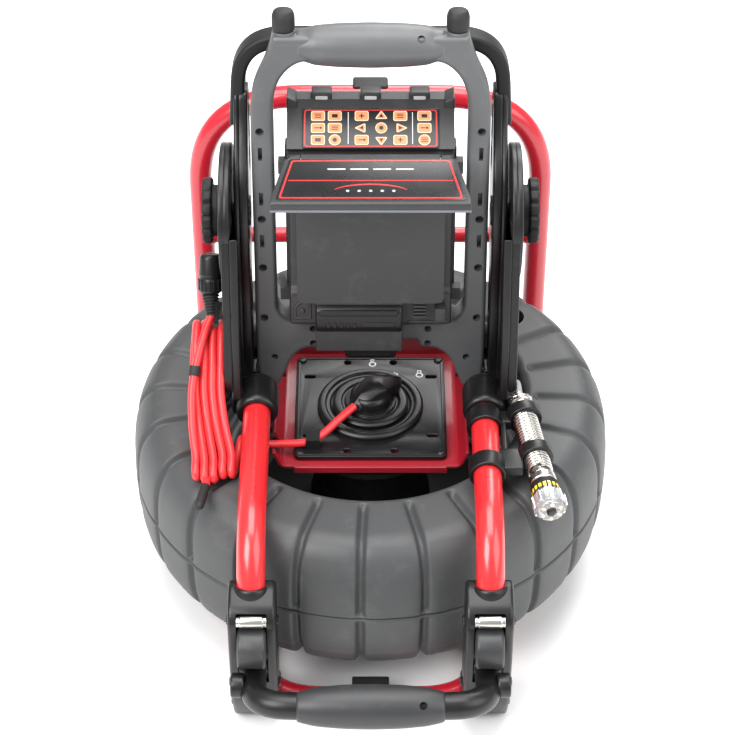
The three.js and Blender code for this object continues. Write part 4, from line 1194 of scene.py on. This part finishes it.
keypadPlace = leanPlace @ Matrix.Translation((0, -9.4, 242.6)) @ Matrix.Rotation(radians(40.3), 4, "X")
keypadSettings = {"columns": (-47, -32, -8, 9.5, 26.5, 48), "rows": (30.2, 18.6, 7), "width": 12.5, "height": 9.6,
                  "top": 2.4}


def glyph(kind, x, y, z):
    if kind in ("up", "down", "left", "right"):
        turn = {"up": 90, "down": -90, "left": 180, "right": 0}[kind]
        shape = [(2.3 * cos(radians(turn + a)), 2.3 * sin(radians(turn + a))) for a in (0, 125, 235)]
        return [[(x + px, y + py) for px, py in shape]]
    if kind == "ring":
        return [circle(x, y, 2, 20)]
    if kind == "bars":
        return [boxLine(x - 3, x + 3, y + k * 1.7 - 0.4, y + k * 1.7 + 0.4, 0.2) for k in (-1, 0, 1)]
    if kind == "plus":
        return [boxLine(x - 2.3, x + 2.3, y - 0.5, y + 0.5, 0.2), boxLine(x - 0.5, x + 0.5, y - 2.3, y + 2.3, 0.2)]
    if kind == "box":
        return [boxLine(x - 2.6, x + 2.6, y - 1.7, y + 1.7, 0.5)]
    return [boxLine(x - 3.2, x + 1, y - 0.5, y + 0.5, 0.2), circle(x + 2.4, y, 1.1, 14)]


def keyOutlines(kind, x, y, w, h, isRound):
    if kind in ("up", "down", "left", "right"):
        turn = {"up": 90, "down": -90, "left": 180, "right": 0}[kind]
        tips = [(x + 6.8 * cos(radians(turn + a)), y + 5.6 * sin(radians(turn + a))) for a in (0, 120, 240)]
        small = [(x + (px - x) * 0.74, y + (py - y) * 0.74) for px, py in tips]
        return roundOff(tips, 2), roundOff(small, 1.2)
    if isRound:
        return circle(x, y, h + 0.5, 32), circle(x, y, h - 0.3, 32)
    return boxLine(x - w, x + w, y - h, y + h, 2), boxLine(x - w + 0.8, x + w - 0.8, y - h + 0.8, y + h - 0.8, 1.5)


def makeKeypad(s):
    base = slab(boxLine(-61, 61, -1, 38, 3), 0.3, 1.9, 0.6, axis="Z")
    piece("keypad_base", base, "film", "dock", ["keypad_overlay"], keypadPlace)
    line = slab(boxLine(-59.4, 59.4, 0.4, 36.4, 3), 1.7, 2.1, 0.1, [boxLine(-58.2, 58.2, 1.4, 35.4, 2.4)], "Z")
    piece("keypad_border", line, "inkRed", "dock", place=keypadPlace)
    divide = [slab(boxLine(x - 0.3, x + 0.3, 3, 34, 0.2), 1.7, 2.1, 0.1, axis="Z") for x in (-20, 37.4)]
    piece("keypad_lines", joinMeshes(divide), "inkWhite", "dock", place=keypadPlace)
    kinds = [["bars", "box", "plus", "up", "bars", "box"], ["dot", "bars", "left", "ring", "right", "dot"],
             ["box", "ring", "dot", "down", "plus", "bars"]]
    fills, outlines, marks = [], [], []
    for j, y in enumerate(s["rows"]):
        for i, x in enumerate(s["columns"]):
            w, h, z = s["width"] / 2, s["height"] / 2, s["top"]
            outer, inner = keyOutlines(kinds[j][i], x, y, w, h, (j == 2 and i in (1, 5)) or (i == 3 and j == 1))
            outlines.append(slab(outer, 1.6, z, 0.3, [inner], "Z"))
            fills.append(slab(inner, 1.6, z - 0.1, 0.15, axis="Z"))
            marks += [slab(g, z - 0.2, z + 0.1, 0.05, axis="Z") for g in glyph(kinds[j][i], x, y, z)]
    piece("key_fills", joinMeshes(fills), "orange", "dock", place=keypadPlace)
    piece("key_outlines", joinMeshes(outlines), "cream", "dock", place=keypadPlace)
    piece("key_glyphs", joinMeshes(marks), "film", "dock", place=keypadPlace)


makeBezel(bezelSettings)
makeHousing()
makeBattery(batterySettings)
makeLatch()
makeHood(hoodSettings)
makeKeypad(keypadSettings)
softCad("main_board", "board", 0.3)
softCad("display_panel", "blackMatte", 0.3)
softCad("display_window", "glass", 0.3)
softCad("hood_pin", "steel", 0.3)
softCad("port_cover", "rubber", 0.4)
print("screen unit made")


# ---------- front handle ----------
handleSettings = {
    "bracket": [(-229, 58), (-240, 60), (-262, 54), (-272, 42), (-270, -20), (-262, -70), (-240, -110), (-204, -110),
                (-204, -84), (-228, -80)],
    "thumb": [(-262, 36), (-280, 37), (-289, 31), (-293, 20), (-291, 8), (-284, 6), (-262, 8)],
    "arm": [(103.5, -263.6, -14), (103.5, -292, -12), (98, -324, 0), (40, -326, 0)],
}


def makeBracketBlock(s):
    blockShape = slab(roundOff(s["bracket"], [4, 8, 9, 10, 20, 20, 12, 6, 6, 10]), 82.5, 124.5, 3.4, axis="X", segments=4)
    bore = pipe(bendPath([(104.5, -100, 95), (104.5, -216, 95), (104.5, -246, 40), (104.5, -246, 11)], [44, 12], 12),
                13, 36)
    loop = pipe(bendPath([(0, -228, -99.4), (104, -228, -99.4), (108, -120, -99.4), (112, -60, -99.4)], [60, 36], 14),
                11.4, 32)
    fork = block(90, 117, -300, -261, -34, 50.5, 1.5, 1.5)
    swing = turned([(0, 0), (12.8, 0), (12.8, 27), (0, 27)], (90, -266, -14), (117, -266, -14), 40, 0)
    corner = block(80, 104, -216, -200, -112, -96, 0.2)
    shape = cut(blockShape, bore, loop, fork, swing, corner)
    collar = turned([(12.9, 0), (15.6, 0), (16.6, 3), (16.6, 10), (12.9, 10)], (104.5, -236, 57.5), (104.5, -242, 44), 48, 1)
    bolts = []
    for b, h in ((-252, 30), (-250, -52), (-236, -92)):
        bolts.append(turned([(0, 0), (4.4, 0), (4.4, 2), (3.4, 2.8), (0, 2.8)], (124, b, h), (128, b, h), 6, 0.3))
        bolts.append(turned([(0, 0), (4.4, 0), (4.4, 2), (3.4, 2.8), (0, 2.8)], (83, b, h), (79, b, h), 6, 0.3))
    return joinMeshes([shape, collar, *bolts])


def makePin():
    return turned([(0, 0), (4.6, 0), (4.6, 3), (5.5, 3.4), (5.5, 23), (4.6, 23.4), (4.6, 26.4), (0, 26.4)],
                  (90.3, -268, 44), (116.7, -268, 44), 40, 0.5)


def makeThumb(s):
    lever = slab(roundOff(s["thumb"], [2, 8, 8, 10, 6, 4, 2], 7), 91, 116, 3.2, axis="X", segments=4)
    return lever


def makeHandle(s):
    arm = pipe(resample(bendPath(s["arm"], [16, 26], 12), 5), 12, 36)
    lobe = slab(circle(-296, -6, 11, 48), 110, 122, 2, [circle(-296, -6, 5, 32)], "X")
    grip = turned([(0, -64), (12.6, -64), (14, -60), (16.8, -48), (18.8, -26), (19.5, 0), (18.8, 26), (16.8, 48),
                   (14, 60), (12.6, 64), (0, 64)], (0, -326, 0), (1, -326, 0), 64, 6)
    screw = turned([(0, 0), (3.4, 0), (3.4, 30), (0, 30)], (45, -332, 8), (45, -350, 28), 24, 0)
    pivot = turned([(0, 0), (6, 0), (6, 25), (0, 25)], (91, -266, -14), (116, -266, -14), 36, 1)
    half = [arm, lobe, pivot]
    return joinMeshes([*half, *[mirrored(m) for m in half]]), cut(grip, screw)


def makeFront(s):
    piece("handle_bracket_skin_right", makeBracketBlock(s), "black", "reel_frame", ["handle_bracket_right"])
    piece("handle_bracket_skin_left", mirrored(makeBracketBlock(s)), "black", "reel_frame", ["handle_bracket_left"])
    piece("roller_pin_right", makePin(), "steel", "reel_frame", ["latch_pin_right"])
    piece("roller_pin_left", mirrored(makePin()), "steel", "reel_frame", ["latch_pin_left"])
    piece("thumb_skin_right", makeThumb(s), "case", "thumb_right", ["thumb_latch_right"])
    piece("thumb_skin_left", mirrored(makeThumb(s)), "case", "thumb_left", ["thumb_latch_left"])
    arms, grip = makeHandle(s)
    piece("carry_handle_arms", arms, "black", "handle", ["carry_handle"])
    piece("carry_handle_grip", grip, "case", "handle")


makeFront(handleSettings)
print("front handle made")


# ---------- camera head ----------
headSettings = {"start": (137, -38, 99), "end": (160, -186, 93), "wire": 1.5, "coil": 10.4, "pitch": 3.5}
headStart = Vector(headSettings["start"])
headEnd = Vector(headSettings["end"])
headAxis = (headEnd - headStart).normalized()
headFrame = Matrix.Translation(headStart) @ headAxis.to_track_quat("Z", "X").to_matrix().to_4x4()


def makeSpring(s):
    points = []
    turns = int(97 / s["pitch"])
    for k in range(turns * 22 + 1):
        a = 2 * pi * k / 22
        points.append(Vector((s["coil"] * cos(a), s["coil"] * sin(a), 2 + k / 22 * s["pitch"])))
    wire = pipe(points, s["wire"], 10)
    cap = turned([(0, -2), (6, -2), (8.6, 2), (8.6, 12), (0, 12)], (0, 0, 0), (0, 0, 1), 40, 1)
    tail = turned([(0, 92), (8.4, 92), (8.4, 101), (0, 101)], (0, 0, 0), (0, 0, 1), 40, 0.6)
    piece("camera_spring_coil", wire, "springSteel", "reel_frame", ["camera_spring"], reelPlace @ headFrame)
    piece("camera_spring_ends", joinMeshes([cap, tail]), "steel", "reel_frame", place=reelPlace @ headFrame)
    core = turned([(0, 10), (7, 10), (7, 94), (0, 94)], (0, 0, 0), (0, 0, 1), 32, 0.4)
    piece("camera_spring_core", core, "blackMatte", "reel_frame", place=reelPlace @ headFrame)


def makeHead(s):
    place = reelPlace @ headFrame
    body = turned([(0, 101.3), (9, 101.3), (9.6, 103.5), (12.4, 104.5), (12.4, 111), (11.9, 111.6), (11.9, 112.6),
                   (12.4, 113.2), (12.4, 127), (11.6, 127.6), (11.6, 139.7), (8.2, 139.7), (8.2, 130), (0, 130)],
                  (0, 0, 0), (0, 0, 1), 64, 0.5)
    flats = [block(-20, 20, 11, 20, 104, 110.4, 0.2), block(-20, 20, -20, -11, 104, 110.4, 0.2)]
    piece("camera_head_body", cut(body, *flats), "steel", "reel_frame", ["camera_body"], place)
    bands = [turned([(12.2, 113.6), (12.7, 113.6), (12.7, 118.6), (12.2, 118.6)], (0, 0, 0), (0, 0, 1), 64, 0.2)]
    for k in range(18):
        tick = block(12, 12.8, -0.8, 0.8, 113.6, 126.4, 0.15)
        tick.transform(Matrix.Rotation(2 * pi * k / 18, 4, "Z"))
        bands.append(tick)
    piece("camera_ticks", joinMeshes(bands), "blackMatte", "reel_frame", place=place)
    yellow = turned([(12.2, 119.6), (12.75, 119.6), (12.75, 123.4), (12.2, 123.4)], (0, 0, 0), (0, 0, 1), 64, 0.2)
    piece("camera_band", yellow, "yellow", "reel_frame", place=place)
    ring = turned([(5, 140), (12.3, 140), (12.3, 144), (11, 146), (5, 146)], (0, 0, 0), (0, 0, 1), 64, 0.8)
    piece("camera_led_skin", ring, "clear", "reel_frame", ["camera_led_ring"], place)
    lamps = []
    for k in range(6):
        a = 2 * pi * k / 6
        spot = (8.7 * cos(a), 8.7 * sin(a), 145)
        lamps.append(turned([(0, 0), (1.9, 0), (1.9, 1.1), (1.1, 1.9), (0, 2.1)], spot, (spot[0], spot[1], 146), 24, 0.3))
    piece("camera_lamps", joinMeshes(lamps), "cream", "reel_frame", place=place)
    lens = turned([(0, 130.3), (7.9, 130.3), (7.9, 139), (4.4, 139.7), (4.4, 146.4), (3.2, 147.6), (0, 148)], (0, 0, 0),
                  (0, 0, 1), 48, 0.5)
    piece("camera_window_skin", lens, "glass", "reel_frame", ["camera_window"], place)
    fins = [turned([(12.6, 128), (14, 128), (14, 142), (12.6, 142)], (0, 0, 0), (0, 0, 1), 64, 0.4)]
    for k in range(9):
        fin = block(13.4, 15.6, -1.3, 1.3, 129, 141, 0.5)
        fin.transform(Matrix.Rotation(2 * pi * k / 9, 4, "Z"))
        fins.append(fin)
    piece("camera_guide_skin", joinMeshes(fins), "clear", "reel_frame", ["camera_guide_ring"], place)


def makeHolder():
    parts = []
    for b, t in ((-67, 0.155), (-129, 0.5)):
        clamp = turned([(12.9, -9), (16.7, -9), (16.7, 9), (12.9, 9)], (104.5, b, 95), (104.5, b + 1, 95), 56, 1.2)
        centre = headStart.lerp(headEnd, t)
        ring = turned([(11.6, -6), (16, -6), (16, 6), (11.6, 6)], centre, centre + headAxis, 56, 1.2)
        link = slab(roundOff([(114, 90), (centre.x - 12, 91), (centre.x - 12, 101), (114, 101)], 2), min(b, centre.y) - 5,
                    max(b, centre.y) + 5, 1.4)
        parts += [clamp, ring, link]
    spine = block(118.5, 123.5, -129, -67, 91, 100, 1.5)
    piece("camera_holder_skin", joinMeshes([*parts, spine]), "black", "reel_frame", ["camera_holder"])


makeSpring(headSettings)
makeHead(headSettings)
makeHolder()
print("camera head made")


# ---------- plug, boot and cable pieces ----------
plugSettings = {"low": (-146, 6, 190), "high": (-146, 22, 222), "bootLow": (-145, -5.5, 172.6), "bootHigh": (-146, 5.2, 188.6)}


def makePlug(s):
    low, high = Vector(s["low"]), Vector(s["high"])
    body = turned([(0, 0), (9.6, 0), (11, 2), (11, 12), (10.2, 13), (10.2, 16), (10.8, 17), (9.6, 33), (8, 35.6), (0, 35.6)],
                  low, high, 48, 1)
    along = (high - low).normalized()
    frameAt = Matrix.Translation(low) @ along.to_track_quat("Z", "X").to_matrix().to_4x4()
    ribs = []
    for k in range(16):
        rib = block(10.2, 11.5, -0.9, 0.9, 2.5, 13, 0.5)
        rib.transform(frameAt @ Matrix.Rotation(2 * pi * k / 16, 4, "Z"))
        ribs.append(rib)
    plug = piece("plug_skin", joinMeshes([body, *ribs]), "black", "reel_frame", ["connector_plug"])
    start, end = Vector(s["bootLow"]), Vector(s["bootHigh"])
    run = (end - start).length
    profile = [(4, 0), (5.2, 0)]
    for k in range(7):
        t = k * run / 7
        r = 5.4 + 2.8 * k / 7
        profile += [(r, t + 0.2), (r + 0.3, t + 1.6), (r - 0.9, t + 1.9), (r - 0.9, t + 2.5)]
    profile += [(8.4, run), (0, run + 1), (0, 0)]
    boot = piece("boot_skin", turned(profile, start, end, 40, 0.25), "rubber", "reel_frame", ["connector_boot"])
    stub = piece("cable_stub", pipe(smoothPath([(-146.4, -118, 84.4), (-147, -128, 83.8), (-148, -141, 84)], 6), 3.75, 24),
                 "cable", "reel_frame")
    capStart, capEnd = Vector((-148, -139, 84)), Vector((-153, -168, 84))
    cap = piece("end_cap_skin", turned([(3.9, 0), (4.5, 0.6), (4.6, 20), (4.3, 26), (2.6, 29.4), (0, 29.4), (0, 0)],
                                       capStart, capEnd, 36, 0.8), "rubber", "reel_frame", ["cable_end_cap"])
    tieAt = Vector((-160, -48, 141.6))
    tie = turned([(4.1, -4.5), (5.1, -4.5), (5.1, 4.5), (4.1, 4.5)], tieAt, tieAt + Vector((3, 20, 18)), 36, 0.5)
    strap = piece("cable_tie", tie, "rubber", "reel_frame")
    return [plug, boot, stub, cap, strap]


plugPieces = makePlug(plugSettings)
softCad("cable_hook", "black", 0.8)
round(pathLength(cablePath), 3)
round(pathLength(pushPath), 3)


# ---------- floor and light ----------
studio = {"floor": (0.9, 0.9, 0.9), "world": 0.55, "key": 95, "fill": 40, "back": 55, "top": 66}


def makeStudio(s):
    bm = bmesh.new()
    bmesh.ops.create_grid(bm, x_segments=2, y_segments=2, size=6)
    floor = bpy.data.objects.new("floor", fromBm(bm))
    p = Paint("floorPaint")
    cloud = p.noise(1.5, 3)
    p.put("Base Color", p.mix(cloud, rgb(s["floor"], 0.995), rgb(s["floor"], 1.0)))
    p.shader.inputs["Roughness"].default_value = 0.7
    floor.data.materials.append(p.material)
    floor.location = (0, 0, cadBox[0][2] - 0.0005)
    bpy.context.collection.objects.link(floor)
    world = bpy.data.worlds.new("studio")
    world.use_nodes = True
    world.node_tree.nodes["Background"].inputs[0].default_value = (1, 1, 1, 1)
    world.node_tree.nodes["Background"].inputs[1].default_value = s["world"]
    bpy.context.scene.world = world
    lamps = [("key", (-1.5, -1.5, 2.3), 1.7, s["key"]), ("fill", (1.9, -1.0, 1.7), 1.9, s["fill"]),
             ("back", (0.6, 2.2, 2.1), 1.6, s["back"]), ("top", (0, 0.2, 2.7), 1.8, s["top"])]
    for name, spot, size, power in lamps:
        data = bpy.data.lights.new(name, "AREA")
        data.shape = "SQUARE"
        data.size = size
        data.energy = power
        lamp = bpy.data.objects.new(name, data)
        aim = Vector((0, 0.05, 0.18)) - Vector(spot)
        lamp.matrix_world = Matrix.Translation(spot) @ aim.to_track_quat("-Z", "Y").to_matrix().to_4x4()
        bpy.context.collection.objects.link(lamp)


makeStudio(studio)
bpy.context.scene.view_settings.view_transform = "Standard"
print("studio made")
